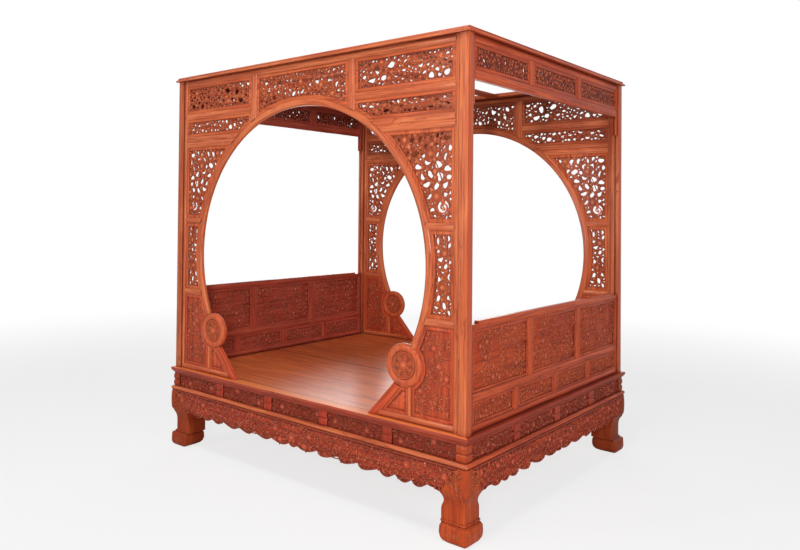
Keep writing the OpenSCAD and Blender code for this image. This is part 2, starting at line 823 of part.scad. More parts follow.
module railing_frame() {
    post_x = bed_d / 2 - post_w;
    color(wood_light) {
        difference() {
            rail(-post_x, post_x, railing_up_top, railing_top, true, false);
            both() translate([post_x - rail_step_l, -frame_t, railing_top - rail_step])
                cube([rail_step_l + 2 * tongue_l, 4 * frame_t, 2 * rail_step]);
        }
        rail(-end_x, end_x, railing_low_top, railing_up_bot);
        rail(-end_x, end_x, deck_h, jamb_foot, false, true);
        both() post_stile(RIGHT, deck_h, railing_up_top, false);
        for (s = [-1, 1])
            stile(s * end_third / 2 - muntin_w / 2, s * end_third / 2 + muntin_w / 2,
                railing_up_bot, railing_up_top);
        for (s = [-1:1])
            stile(s * end_quarter - muntin_w / 2, s * end_quarter + muntin_w / 2,
                jamb_foot, railing_low_top);
    }
}

module end_panel(half, z0, z1) {
    framed_panel(false) {
        area(-half, half, z0, z1, tongue_l);
        area(-half, half, z0, z1, 0);
        area(-half, half, z0, z1, -border_w * 0.7);
        area(-half, half, z0, z1, over - border_w * 0.7);
    }
}

module railing_panels() {
    color(wood) {
        for (i = [-1:1]) translate([i * end_third, 0, 0])
            end_panel((end_third - muntin_w) / 2, railing_up_bot, railing_up_top);
        for (i = [0:3]) translate([(i - 1.5) * end_quarter, 0, 0])
            end_panel((end_quarter - muntin_w) / 2, jamb_foot, railing_low_top);
    }
}

// Canopy: an open mitred frame with a rounded edge, and battens tongued into its long rails
canopy_in_l = bed_l / 2 + canopy_out - canopy_w;
canopy_in_d = bed_d / 2 + canopy_out - canopy_w;
batten_pitch = 2 * canopy_in_l / 5;

module canopy_section() {
    r = canopy_t * 0.42;
    union() {
        translate([r - canopy_out, frieze_top + canopy_t - 2 * r]) circle(r);
        translate([r - canopy_out, frieze_top]) square([canopy_w - r, canopy_t]);
    }
}

module canopy_rail(side) {
    color(wood) on_side(side) difference() {
        mitred(side_len(side) + 2 * canopy_out, [canopy_out, canopy_w - canopy_out], frieze_top, bed_h)
            canopy_section();
        both() translate([side_len(side) / 2 - post_mid, post_mid, 0])
            tenon_hole(frieze_top - over, tenon_l + over + tongue_gap);
        if (side_len(side) == bed_l) for (i = [-1.5:1.5])
            translate([i * batten_pitch, canopy_w - canopy_out, frieze_top + batten_t / 2])
                batten_tongue(2 * tenon_l, tongue_gap);
    }
}

// Tongue of a batten, a quarter of its thickness in from both faces, grown by g
module batten_tongue(length, g) {
    cube([batten_w - batten_t + 2 * g, length + 2 * g, batten_t / 2 + 2 * g], center = true);
}

module canopy_battens() {
    color(wood_dark) for (i = [-1.5:1.5])
        translate([i * batten_pitch, 0, frieze_top + batten_t / 2]) {
            cube([batten_w, 2 * canopy_in_d, batten_t], center = true);
            batten_tongue(2 * (canopy_in_d + tenon_l), 0);
        }
}

leg(-1, -1);  // leg_front_left
leg(1, -1);  // leg_front_right
leg(-1, 1);  // leg_rear_left
leg(1, 1);  // leg_rear_right
apron(FRONT);  // apron_front
apron(REAR);  // apron_rear
apron(LEFT);  // apron_left
apron(RIGHT);  // apron_right
waist_moulding(FRONT);  // waist_moulding_front
waist_moulding(REAR);  // waist_moulding_rear
waist_moulding(LEFT);  // waist_moulding_left
waist_moulding(RIGHT);  // waist_moulding_right
waist_blocks();
waist_panels(FRONT);  // waist_panels_front
waist_panels(REAR);  // waist_panels_rear
for (side = [LEFT, RIGHT]) waist_panels(side);  // waist_panels_ends
platform_rail(FRONT);  // platform_rail_front
platform_rail(REAR);  // platform_rail_rear
platform_rail(LEFT);  // platform_rail_left
platform_rail(RIGHT);  // platform_rail_right
deck_board(-deck_half_d, deck_seam - tongue_gap);  // deck_board_front
deck_board(deck_seam + tongue_gap, deck_half_d);  // deck_board_rear
deck_bearers();
post(-1, -1);  // post_front_left
post(1, -1);  // post_front_right
post(-1, 1);  // post_rear_left
post(1, 1);  // post_rear_right
on_side(FRONT) frieze_frame();  // front_frieze_frame
on_side(FRONT) frieze_panels();  // front_frieze_panels
on_side(FRONT) arch();  // front_arch
on_side(FRONT) mirror([1, 0, 0]) ring_side();  // front_ring_left
on_side(FRONT) ring_side();  // front_ring_right
on_side(FRONT) jamb_frames();  // front_jamb_frames
on_side(FRONT) medallions();  // front_medallions
on_side(FRONT) struts();  // front_struts
on_side(FRONT) pierced_panels();  // front_pierced_panels
on_side(FRONT) carved_panels();  // front_carved_panels
on_side(REAR) frieze_frame();  // rear_frieze_frame
on_side(REAR) frieze_panels();  // rear_frieze_panels
on_side(REAR) arch();  // rear_arch
on_side(REAR) ring_side();  // rear_ring_left
on_side(REAR) mirror([1, 0, 0]) ring_side();  // rear_ring_right
on_side(REAR) jamb_frames();  // rear_jamb_frames
on_side(REAR) medallions();  // rear_medallions
on_side(REAR) struts();  // rear_struts
on_side(REAR) pierced_panels();  // rear_pierced_panels
on_side(REAR) carved_panels();  // rear_carved_panels
on_side(LEFT) end_frieze_frame();  // left_frieze_frame
on_side(LEFT) end_frieze_panels();  // left_frieze_panels
on_side(LEFT) railing_frame();  // left_railing_frame
on_side(LEFT) railing_panels();  // left_railing_panels
on_side(RIGHT) end_frieze_frame();  // right_frieze_frame
on_side(RIGHT) end_frieze_panels();  // right_frieze_panels
on_side(RIGHT) railing_frame();  // right_railing_frame
on_side(RIGHT) railing_panels();  // right_railing_panels
for (side = [FRONT, REAR]) canopy_rail(side);  // canopy_rails_long
for (side = [LEFT, RIGHT]) canopy_rail(side);  // canopy_rails_short
canopy_battens();
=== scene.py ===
"""Looks of a carved canopy bed with moon gates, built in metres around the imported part.

The CAD posts, frames, rings, struts, mouldings, canopy and deck stay and get their wood.
Legs, aprons, medallions, waist panels and blocks, and every carved or pierced panel are
replaced by surfaces worked out here, in place."""

import math

import bpy
import numpy as np
from mathutils import Matrix, Vector
from mathutils.geometry import delaunay_2d_cdt


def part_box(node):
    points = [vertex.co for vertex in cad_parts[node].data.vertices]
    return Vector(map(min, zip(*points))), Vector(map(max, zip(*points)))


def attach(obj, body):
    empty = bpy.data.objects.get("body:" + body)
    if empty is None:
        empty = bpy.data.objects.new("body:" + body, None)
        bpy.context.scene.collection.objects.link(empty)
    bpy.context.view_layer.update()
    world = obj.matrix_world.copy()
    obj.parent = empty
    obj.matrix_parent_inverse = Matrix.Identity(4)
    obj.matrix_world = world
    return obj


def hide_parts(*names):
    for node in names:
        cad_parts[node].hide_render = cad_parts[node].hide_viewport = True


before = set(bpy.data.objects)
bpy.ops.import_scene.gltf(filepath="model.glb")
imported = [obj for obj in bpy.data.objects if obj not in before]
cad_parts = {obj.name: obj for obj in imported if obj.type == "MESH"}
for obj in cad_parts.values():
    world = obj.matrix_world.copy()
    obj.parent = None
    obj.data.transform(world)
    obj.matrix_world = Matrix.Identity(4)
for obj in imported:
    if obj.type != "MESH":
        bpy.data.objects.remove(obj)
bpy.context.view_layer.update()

# Sides of the bed, each a quarter turn from the one before
FRONT, RIGHT, REAR, LEFT = range(4)
SIDE_NAMES = {FRONT: "front", RIGHT: "right", REAR: "rear", LEFT: "left"}

# Main sizes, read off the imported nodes, and the sections that the CAD source names
BED_L = 2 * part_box("post_front_right")[1].x
BED_D = -2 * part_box("post_front_right")[0].y
DECK_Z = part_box("platform_rail_front")[1].z
FRIEZE_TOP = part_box("canopy_rails_long")[0].z
WAIST_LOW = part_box("waist_panels_front")[0].z
WAIST_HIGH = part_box("waist_panels_front")[1].z
APRON_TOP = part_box("apron_front")[1].z
POST = 0.050
STILE = 0.027
RAIL = 0.033
MUNTIN = 0.046
SCREEN_Y = POST / 2
BORDER = 0.021
GROUND = 0.0045
POST_OFF = {FRONT: BED_D / 2, REAR: BED_D / 2, LEFT: BED_L / 2, RIGHT: BED_L / 2}
SIDE_LEN = {FRONT: BED_L, REAR: BED_L, LEFT: BED_D, RIGHT: BED_D}

# Heights and widths of the gate screens
GATE_Z = DECK_Z + 0.752
RING_WIDE = 0.037
RING_OUT = 0.858 + RING_WIDE
JAMB_FOOT = DECK_Z + RAIL
UP_TOP = FRIEZE_TOP - RAIL - 0.002
UP_LOW = UP_TOP - 0.183
LOW_TOP = UP_LOW - RAIL
LOW_LOW = LOW_TOP - 0.116
SPANDREL_TOP = LOW_LOW - 2 * RAIL
SPANDREL_LOW = SPANDREL_TOP - 0.454
JAMB_TOP = SPANDREL_LOW - RAIL
JAMB_LOW = JAMB_TOP - 0.422
CARVED_TOP = JAMB_LOW - RAIL
STILE_X = BED_L / 2 - POST - STILE
MUNTIN_X = 0.381
MUNTIN_IN, MUNTIN_OUT = MUNTIN_X - MUNTIN / 2, MUNTIN_X + MUNTIN / 2
MEDAL_R = 0.107
MEDAL_Z = DECK_Z + 0.274
RING_MID = RING_OUT - RING_WIDE / 2
MEDAL_X = math.sqrt(RING_MID**2 - (GATE_Z - MEDAL_Z) ** 2)
DIVIDER = 0.016
DIVIDER_X = MEDAL_X + MEDAL_R * 0.35
STRUT_HALF = 0.0205
STRUT_SLOPE = math.radians(48)
STRUT_X, STRUT_Z = MEDAL_X - 0.022, MEDAL_Z - 0.080

# Heights and widths of the end screens
END_Y = BED_D / 2 - POST - STILE
THIRD = (2 * END_Y + MUNTIN) / 3
QUARTER = (2 * END_Y + MUNTIN) / 4
END_LOW = UP_TOP - 0.130
RAILING_TOP = DECK_Z + 0.516 - RAIL - 0.004
RAILING_SMALL = JAMB_FOOT + 0.112
RAILING_LOW = RAILING_SMALL + RAIL + 0.003

# Base: swelling aprons with lobed lower edges, legs, blocks and panels of the waist
SWELL = 0.018
SWELL_FALL, SWELL_PEAK, SWELL_REACH = 0.005, 0.062, 0.074
APRON_EDGE = 0.241
LOBE_DROP = 0.026
KNEE = 0.040
COLUMN_IN, COLUMN = 0.010, 0.132
ARCH_R = 0.046
ARCH_FAR = COLUMN_IN + COLUMN - 0.016
ARCH_Z = APRON_EDGE - 0.005 - ARCH_R
BLOCK = 0.058
WAIST_COUNT = {FRONT: 5, REAR: 5, LEFT: 4, RIGHT: 4}
LOBES_LONG = [(0.03, 0.2, 0.8), (0.205, 0.35, 0.5), (0.37, 0.5, 0.5), (0.512, 0.645, 0.5),
              (0.66, 0.755, 0.8), (0.765, 0.866, 1), (0.872, 0.965, 0.7)]
LOBES_SHORT = [(0.035, 0.22, 0.8), (0.235, 0.43, 0.6), (0.45, 0.6, 0.5), (0.62, 0.73, 0.6),
               (0.735, 0.82, 0.8), (0.828, 0.945, 0.9)]


# Shells: numbering of the faces of the closed forms that everything is made of


def sheet_quads(grid):
    """Quads between neighbouring points of a grid of point numbers."""
    a, b, c, d = grid[:-1, :-1], grid[1:, :-1], grid[1:, 1:], grid[:-1, 1:]
    return np.stack([a, b, c, d], -1).reshape(-1, 4)


def fill_quads(rim):
    """Quads across a closed rim of an even number of points, like rungs of a ladder."""
    k = len(rim)
    s = np.arange(k // 2 - 1)
    return rim[np.stack([s, s + 1, k - 2 - s, k - 1 - s], -1)]


def pod_faces(m, n):
    """Two sheets of m by n points that share their rim."""
    top = np.arange(m * n).reshape(m, n)
    under = top.copy()
    under[1:-1, 1:-1] = m * n + np.arange((m - 2) * (n - 2)).reshape(m - 2, n - 2)
    return np.concatenate([sheet_quads(top), sheet_quads(under)[:, ::-1]])


def capped_faces(m, n):
    """One sheet of m by n points, its rim filled underneath."""
    top = np.arange(m * n).reshape(m, n)
    rim = np.concatenate([top[:-1, 0], top[-1, :-1], top[:0:-1, -1], top[0, :0:-1]])
    return np.concatenate([sheet_quads(top), fill_quads(rim)[:, ::-1]])


def tube_faces(m, k):
    """A tube of m rings of k points, k even, its ends filled."""
    ring = np.arange(m * k).reshape(m, k)
    sides = sheet_quads(np.concatenate([ring, ring[:, :1]], 1))
    return np.concatenate([sides, fill_quads(ring[-1])[:, ::-1], fill_quads(ring[0])])


def loop_faces(m, k):
    """A closed loop of m stations, each a closed section of k points."""
    grid = np.arange(m * k).reshape(m, k)
    grid = np.concatenate([grid, grid[:1]], 0)
    return sheet_quads(np.concatenate([grid, grid[:, :1]], 1))


def volume(points, faces):
    """Signed volume of a shell of quads: the sum of wedges seen from its first point."""
    p = points[faces] - points[0]
    one = np.einsum("ij,ij->i", p[:, 0], np.cross(p[:, 1], p[:, 2])).sum()
    two = np.einsum("ij,ij->i", p[:, 0], np.cross(p[:, 2], p[:, 3])).sum()
    return (one + two) / 6


# How sharp a turn between faces has to be to show, and how many copies of a shell are measured
# to tell whether its faces look out
SMOOTH_DEG = 40
MEASURED = 3


class Carving:
    """Closed shells gathered into one piece, with how high each point stands in the relief."""

    def __init__(self):
        self.points, self.faces, self.relief, self.count = [], [], [], 0

    def add(self, points, faces, relief):
        """Adds copies of a shell, points (copies, n, 3), turned so that its faces look out."""
        points = np.asarray(points, float)
        if points.ndim == 2:
            points = points[None]
        copies, n = points.shape[:2]
        if copies == 0:
            return
        if sum(volume(points[i], faces) for i in range(min(copies, MEASURED))) < 0:
            faces = faces[:, ::-1]
        shift = self.count + n * np.arange(copies)[:, None, None]
        self.points.append(points.reshape(-1, 3))
        self.faces.append((faces[None] + shift).reshape(-1, 4))
        self.relief.append(np.broadcast_to(np.asarray(relief, float), (copies, n)).reshape(-1))
        self.count += copies * n

    def put(self, shells, place):
        """Adds shells drawn flat, moved to where they belong by a function of points."""
        for points, faces, relief in shells:
            self.add(place(points), faces, relief)

    def piece(self, name, material, slot, *nodes):
        """Makes the object, which rides on the bed and stands for the CAD nodes named. A quad
        with a corner given twice becomes a triangle."""
        points = np.concatenate(self.points).astype(np.float32)
        faces = np.concatenate(self.faces).astype(np.int32)
        first, last = faces[:, 0] == faces[:, 1], faces[:, 2] == faces[:, 3]
        quads = faces[~first & ~last]
        thirds = np.concatenate([faces[first][:, 1:], faces[last][:, :3]])
        corners = np.concatenate([quads.ravel(), thirds.ravel()])
        starts = np.concatenate([4 * np.arange(len(quads)), 4 * len(quads) + 3 * np.arange(len(thirds))])
        mesh = bpy.data.meshes.new(name)
        mesh.vertices.add(len(points))
        mesh.vertices.foreach_set("co", points.ravel())
        mesh.loops.add(len(corners))
        mesh.loops.foreach_set("vertex_index", corners)
        mesh.polygons.add(len(starts))
        mesh.polygons.foreach_set("loop_start", starts.astype(np.int32))
        mesh.polygons.foreach_set("use_smooth", np.ones(len(starts), bool))
        relief = mesh.attributes.new("relief", "FLOAT", "POINT")
        relief.data.foreach_set("value", np.concatenate(self.relief).astype(np.float32))
        mesh.update(calc_edges=True)
        mesh.validate()
        mesh.set_sharp_from_angle(angle=math.radians(SMOOTH_DEG))
        mesh.materials.append(material)
        made = bpy.data.objects.new(name, mesh)
        bpy.context.scene.collection.objects.link(made)
        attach(made, "root")
        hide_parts(*nodes)
        print(name, 2 * len(quads) + len(thirds), "triangles")


# Places: u along a side, y inwards from its outer plane, z up


def on_side(side, u, y, z):
    """Turns a point of a side by as many quarter turns as the side is from the front."""
    c, s = [(1, 0), (0, 1), (-1, 0), (0, -1)][side]
    back = y - POST_OFF[side]
    return np.stack([u * c - back * s, u * s + back * c, z + 0 * u], -1)


def screen_place(side, mirror=1, inner=False, centre=0.0):
    """Places what is drawn about a screen's middle plane, w towards the outside or inside."""
    out = -1 if inner else 1

    def place(p):
        """u mirrored and moved along the side, w taken from the screen's middle plane."""
        return on_side(side, mirror * p[..., 0] + centre, SCREEN_Y - out * p[..., 2], p[..., 1])

    return place


def face_at(z):
    """How far the swelling face of knee and apron stands out: a parabola over the height that
    is highest near the apron's middle."""
    return SWELL - SWELL_FALL * ((z - APRON_TOP + SWELL_PEAK) / SWELL_REACH) ** 2


def apron_place(side, mirror=1):
    """Places a form on the swelling face of an apron, w outwards."""

    def place(p):
        """u mirrored, w added to how far the swelling face stands out at that height."""
        y = -face_at(p[..., 1]) - p[..., 2]
        return on_side(side, mirror * p[..., 0], y, p[..., 1])

    return place


# Openings of panels: a list of edges, each a line or a round hole

# Steps that find a corner, and points of an arc
NEWTON_STEPS, ARC_POINTS = 20, 24


def line_edge(nu, nv, at):
    """Keeps the side where nu * u + nv * v is more than at."""
    return ("line", nu, nv, at)


def hole_edge(cu, cv, radius):
    """Keeps what lies outside a circle."""
    return ("hole", cu, cv, radius)


def inside(edges, u, v):
    """Distance into the opening: the least of the distances into its edges."""
    return np.min([a * u + b * v - c if kind == "line" else np.hypot(u - a, v - b) - c
                   for kind, a, b, c in edges], 0)


def corner(first, second, guess, inset):
    """Point at the same inset from two edges, found by Newton steps from a guess."""
    p = np.array(guess, float)
    for step in range(NEWTON_STEPS):
        rows, misses = [], []
        for kind, a, b, c in (first, second):
            if kind == "line":
                rows.append([a, b])
                misses.append(a * p[0] + b * p[1] - c - inset)
            else:
                r = math.hypot(p[0] - a, p[1] - b)
                rows.append([(p[0] - a) / r, (p[1] - b) / r])
                misses.append(r - c - inset)
        p -= np.linalg.solve(np.array(rows), np.array(misses))
    return p


def outline(edges, guesses, inset, arc_points=ARC_POINTS):
    """Closed outline at an inset: edge i runs from corner i to the next, and holes get arcs."""
    n = len(edges)
    corners = [corner(edges[i - 1], edges[i], guesses[i], inset) for i in range(n)]
    points = []
    for i, (kind, a, b, c) in enumerate(edges):
        start, end = corners[i], corners[(i + 1) % n]
        if kind == "line":
            points.append(start[None])
            continue
        a0 = math.atan2(start[1] - b, start[0] - a)
        turn = math.atan2(end[1] - b, end[0] - a) - a0
        turn = (turn + math.pi) % (2 * math.pi) - math.pi
        angles = a0 + turn * np.arange(arc_points) / arc_points
        points.append(np.stack([a + (c + inset) * np.cos(angles), b + (c + inset) * np.sin(angles)], -1))
    return np.concatenate(points)


def box_opening(u0, u1, v0, v1):
    """Edges and corners of a rectangular opening, from the lower left corner round."""
    edges = [line_edge(0, 1, v0), line_edge(-1, 0, -u1), line_edge(0, -1, -v1), line_edge(1, 0, u0)]
    return edges, [(u0, v0), (u1, v0), (u1, v1), (u0, v1)]


# Section of a raised border: inset from the rail and height above the middle plane
BORDER_FACE = np.array([
    [-0.0020, 0.0095], [0.0035, 0.0095], [0.0048, 0.0078], [0.0062, 0.0095], [0.0135, 0.0098],
    [0.0152, 0.0112], [0.0172, 0.0118], [0.0192, 0.0108], [0.0206, 0.0085]])

# Levels of the relief, which set the painted shade and highlight: plain raised wood, a raised field, groove
# and foot of a border, a web; the groove and web lie low and so are painted in shade
PLAIN_RELIEF, FIELD_RELIEF, GROOVE_RELIEF, WEB_RELIEF = 0.61, 0.55, 0.25, 0.08
GROOVE_BELOW = 0.0086

# A raised field: height over the ground, and points of its arc
FIELD_RISE, FIELD_POINTS = 0.0045, 25


def border_shell(opening, width=BORDER):
    """Raised border of an opening: the section above, mirrored for the other face, scaled to
    the border's width and swept round the outline, so that its corners are mitred."""
    face = BORDER_FACE * [width / BORDER, 1]
    section = np.concatenate([face, face[::-1] * [1, -1]])
    rings = [outline(*opening, inset) for inset, height in section]
    points = np.stack([np.column_stack([ring, np.full(len(ring), height)])
                       for ring, (inset, height) in zip(rings, section)], 1)
    relief = np.where(np.abs(section[:, 1]) < GROOVE_BELOW, GROOVE_RELIEF, PLAIN_RELIEF)
    count = len(rings[0])
    return points.reshape(1, -1, 3), loop_faces(count, len(section)), np.tile(relief, count)


def field_shell(opening, inset):
    """Raised plain field of a panel with one arc: its outline at growing insets, each higher,
    then drawn in to its middle and closed."""
    count = FIELD_POINTS + len(opening[0]) - 1
    steps = [(0.0, GROUND - 0.001), (0.0012, GROUND + 0.7 * FIELD_RISE), (0.0040, GROUND + FIELD_RISE)]
    rings = [np.column_stack([outline(*opening, inset + further, FIELD_POINTS), np.full(count, height)])
             for further, height in steps]
    middle = rings[-1].mean(0)
    rings += [middle + (rings[-1] - middle) * share for share in (0.6, 0.2)]
    points = np.stack(rings)
    return points.reshape(1, -1, 3), tube_faces(len(rings), count), FIELD_RELIEF


def board_shell(left, right, v0, v1, half=GROUND, rows=30):
    """Ground of a relief: a thin board between two edges given as functions of height."""
    t = np.array([0, 0.004] + list(np.linspace(0.03, 0.97, rows)) + [0.996, 1])
    s = np.array([0, 0.01, 0.25, 0.5, 0.75, 0.99, 1])
    v = v0 + (v1 - v0) * t
    u = left(v)[:, None] + (right(v) - left(v))[:, None] * s
    flat = np.stack([u, np.repeat(v[:, None], len(s), 1), np.full(u.shape, half)], -1)
    flat[[0, -1], :, 2] = 0
    flat[:, [0, -1], 2] = 0
    points = np.concatenate([flat.reshape(-1, 3), (flat * [1, 1, -1])[1:-1, 1:-1].reshape(-1, 3)])
    return points[None], pod_faces(len(t), len(s)), 0.0


# Pierced webs: a thin board with cusped holes, drawn flat like the foliage that lies over it

# Points of a hole, its packed circle over its own reach, half the thickness of a web, how close
# two of its points count as one, and a full turn in radians, rounded up, for random angles
HOLE_POINTS, HOLE_ROOM = 14, 1.03
WEB, SAME_POINT = 0.0036, 1e-7
FULL_TURN = 6.3


class Holes:
    """Holes as are left between scrolls: a circle whose radius falls from each of its cusps by
    a sine, drawn out along an axis and bent along a parabola, then turned, and scaled so that
    it reaches just to its packed circle."""

    def __init__(self, circles, seed, lie=None):
        draw = np.random.default_rng(seed)
        n = len(circles)
        self.centre = circles[:, :2]
        self.cusps = draw.choice([1, 2, 3, 3, 4, 5], n)
        self.start, self.depth = draw.uniform(0, FULL_TURN, n), draw.uniform(0.15, 0.55, n)
        self.turn = draw.uniform(0, FULL_TURN, n) if lie is None else lie + draw.normal(0, 0.35, n)
        self.stretch = draw.uniform(1.12, 1.55, n)
        self.bend = draw.uniform(-0.50, 0.50, n)
        self.radius = np.ones(n)
        self.radius = circles[:, 2] / HOLE_ROOM / np.hypot(*self.drawn().transpose(2, 0, 1)).max(1)

    def reach(self, angle, i):
        """Radius before stretching at an angle."""
        cusp = np.abs(np.sin(self.cusps[i] * (angle - self.start[i]) / 2))
        return self.radius[i] * (1 - self.depth[i] * cusp)

    def drawn(self):
        """Outlines about the origin, clockwise, before they are turned."""
        i = np.arange(len(self.radius))[:, None]
        angle = -2 * np.pi * np.arange(HOLE_POINTS)[None] / HOLE_POINTS
        r = self.reach(angle, i)
        x, y = r * np.cos(angle) * self.stretch[i], r * np.sin(angle) / self.stretch[i]
        return np.stack([x, y + self.bend[i] * x**2 / self.radius[i]], -1)

    def outlines(self):
        """Outlines of all holes in place, (holes, points, 2), clockwise."""
        return self.turned(self.drawn(), self.turn) + self.centre[:, None]

    @staticmethod
    def turned(p, turn):
        """Points turned about the origin, each hole by its own angle."""
        c, s = np.cos(turn)[:, None], np.sin(turn)[:, None]
        return np.stack([p[..., 0] * c - p[..., 1] * s, p[..., 0] * s + p[..., 1] * c], -1)

    def cover(self, points):
        """Which points lie in any hole: turned, unbent and shrunk back, they fall short of the
        reach."""
        q = self.turned(points[None] - self.centre[:, None], -self.turn)
        i = np.arange(len(self.radius))[:, None]
        x = q[..., 0] / self.stretch[i]
        y = (q[..., 1] - self.bend[i] * q[..., 0] ** 2 / self.radius[i]) * self.stretch[i]
        return (np.hypot(x, y) < self.reach(np.arctan2(y, x), i)).any(0)


def web_shell(opening, inset, holes):
    """A board between the border and the holes: both faces triangulated alike, and walls
    along the rim and round every hole."""
    loops = [outline(*opening, inset)] + list(holes.outlines())
    flat = np.concatenate(loops)
    n = len(flat)
    starts = np.cumsum([0] + [len(loop) for loop in loops[:-1]])
    numbers = [start + np.arange(len(loop)) for start, loop in zip(starts, loops)]
    here, after = np.concatenate(numbers), np.concatenate([np.roll(loop, -1) for loop in numbers])
    edges = np.stack([here, after], -1)
    cut = delaunay_2d_cdt([Vector(p) for p in flat], edges.tolist(), [], 0, SAME_POINT)
    thirds, came_from = cut[2], cut[3]
    origin = np.array([came[0] for came in came_from])
    thirds = origin[np.array(thirds)]
    a, b, c = flat[thirds[:, 0]], flat[thirds[:, 1]], flat[thirds[:, 2]]
    wrong = (b[:, 0] - a[:, 0]) * (c[:, 1] - a[:, 1]) < (c[:, 0] - a[:, 0]) * (b[:, 1] - a[:, 1])
    thirds[wrong] = thirds[wrong][:, ::-1]
    middle = (a + b + c) / 3
    solid = (inside(opening[0], middle[:, 0], middle[:, 1]) > inset) & ~holes.cover(middle)
    thirds = thirds[solid]
    top = np.column_stack([thirds, thirds[:, 2]])
    walls = np.stack([n + here, n + after, after, here], -1)
    points = np.concatenate([np.column_stack([flat, np.full(n, height)]) for height in (WEB, -WEB)])
    return points[None], np.concatenate([top, n + top[:, ::-1], walls]), WEB_RELIEF


# Carved forms, drawn flat in (u, v) with w as height over the ground

# Teeth of a leaf, rows, points and last angle of a knob, points and turns of a curl, and how its
# radius starts, shrinks and eases
LEAF_TEETH = 3.0
KNOB_ROWS, KNOB_POINTS, KNOB_BRIM = 3, 8, 1.35
CURL_POINTS, CURL_TURNS = 14, 1.3
CURL_START, CURL_SHRINK, CURL_EASE = 0.86, 0.78, 0.85

# How far behind its circle's middle a fan is rooted, thickness of tendrils on a ground and in
# openwork, and the stems between circles: half widths at both ends, bulge and height
FAN_ROOT = 0.85
GROUND_TENDRIL, OPEN_TENDRIL = 0.17, 0.12
STEM_START, STEM_END, STEM_BULGE, STEM_LIFT = 0.0036, 0.0028, 0.10, 0.45


def spread(values, count):
    """One value a copy, shaped to run over a sheet of points."""
    return np.broadcast_to(np.asarray(values, float), (count,))[:, None, None]


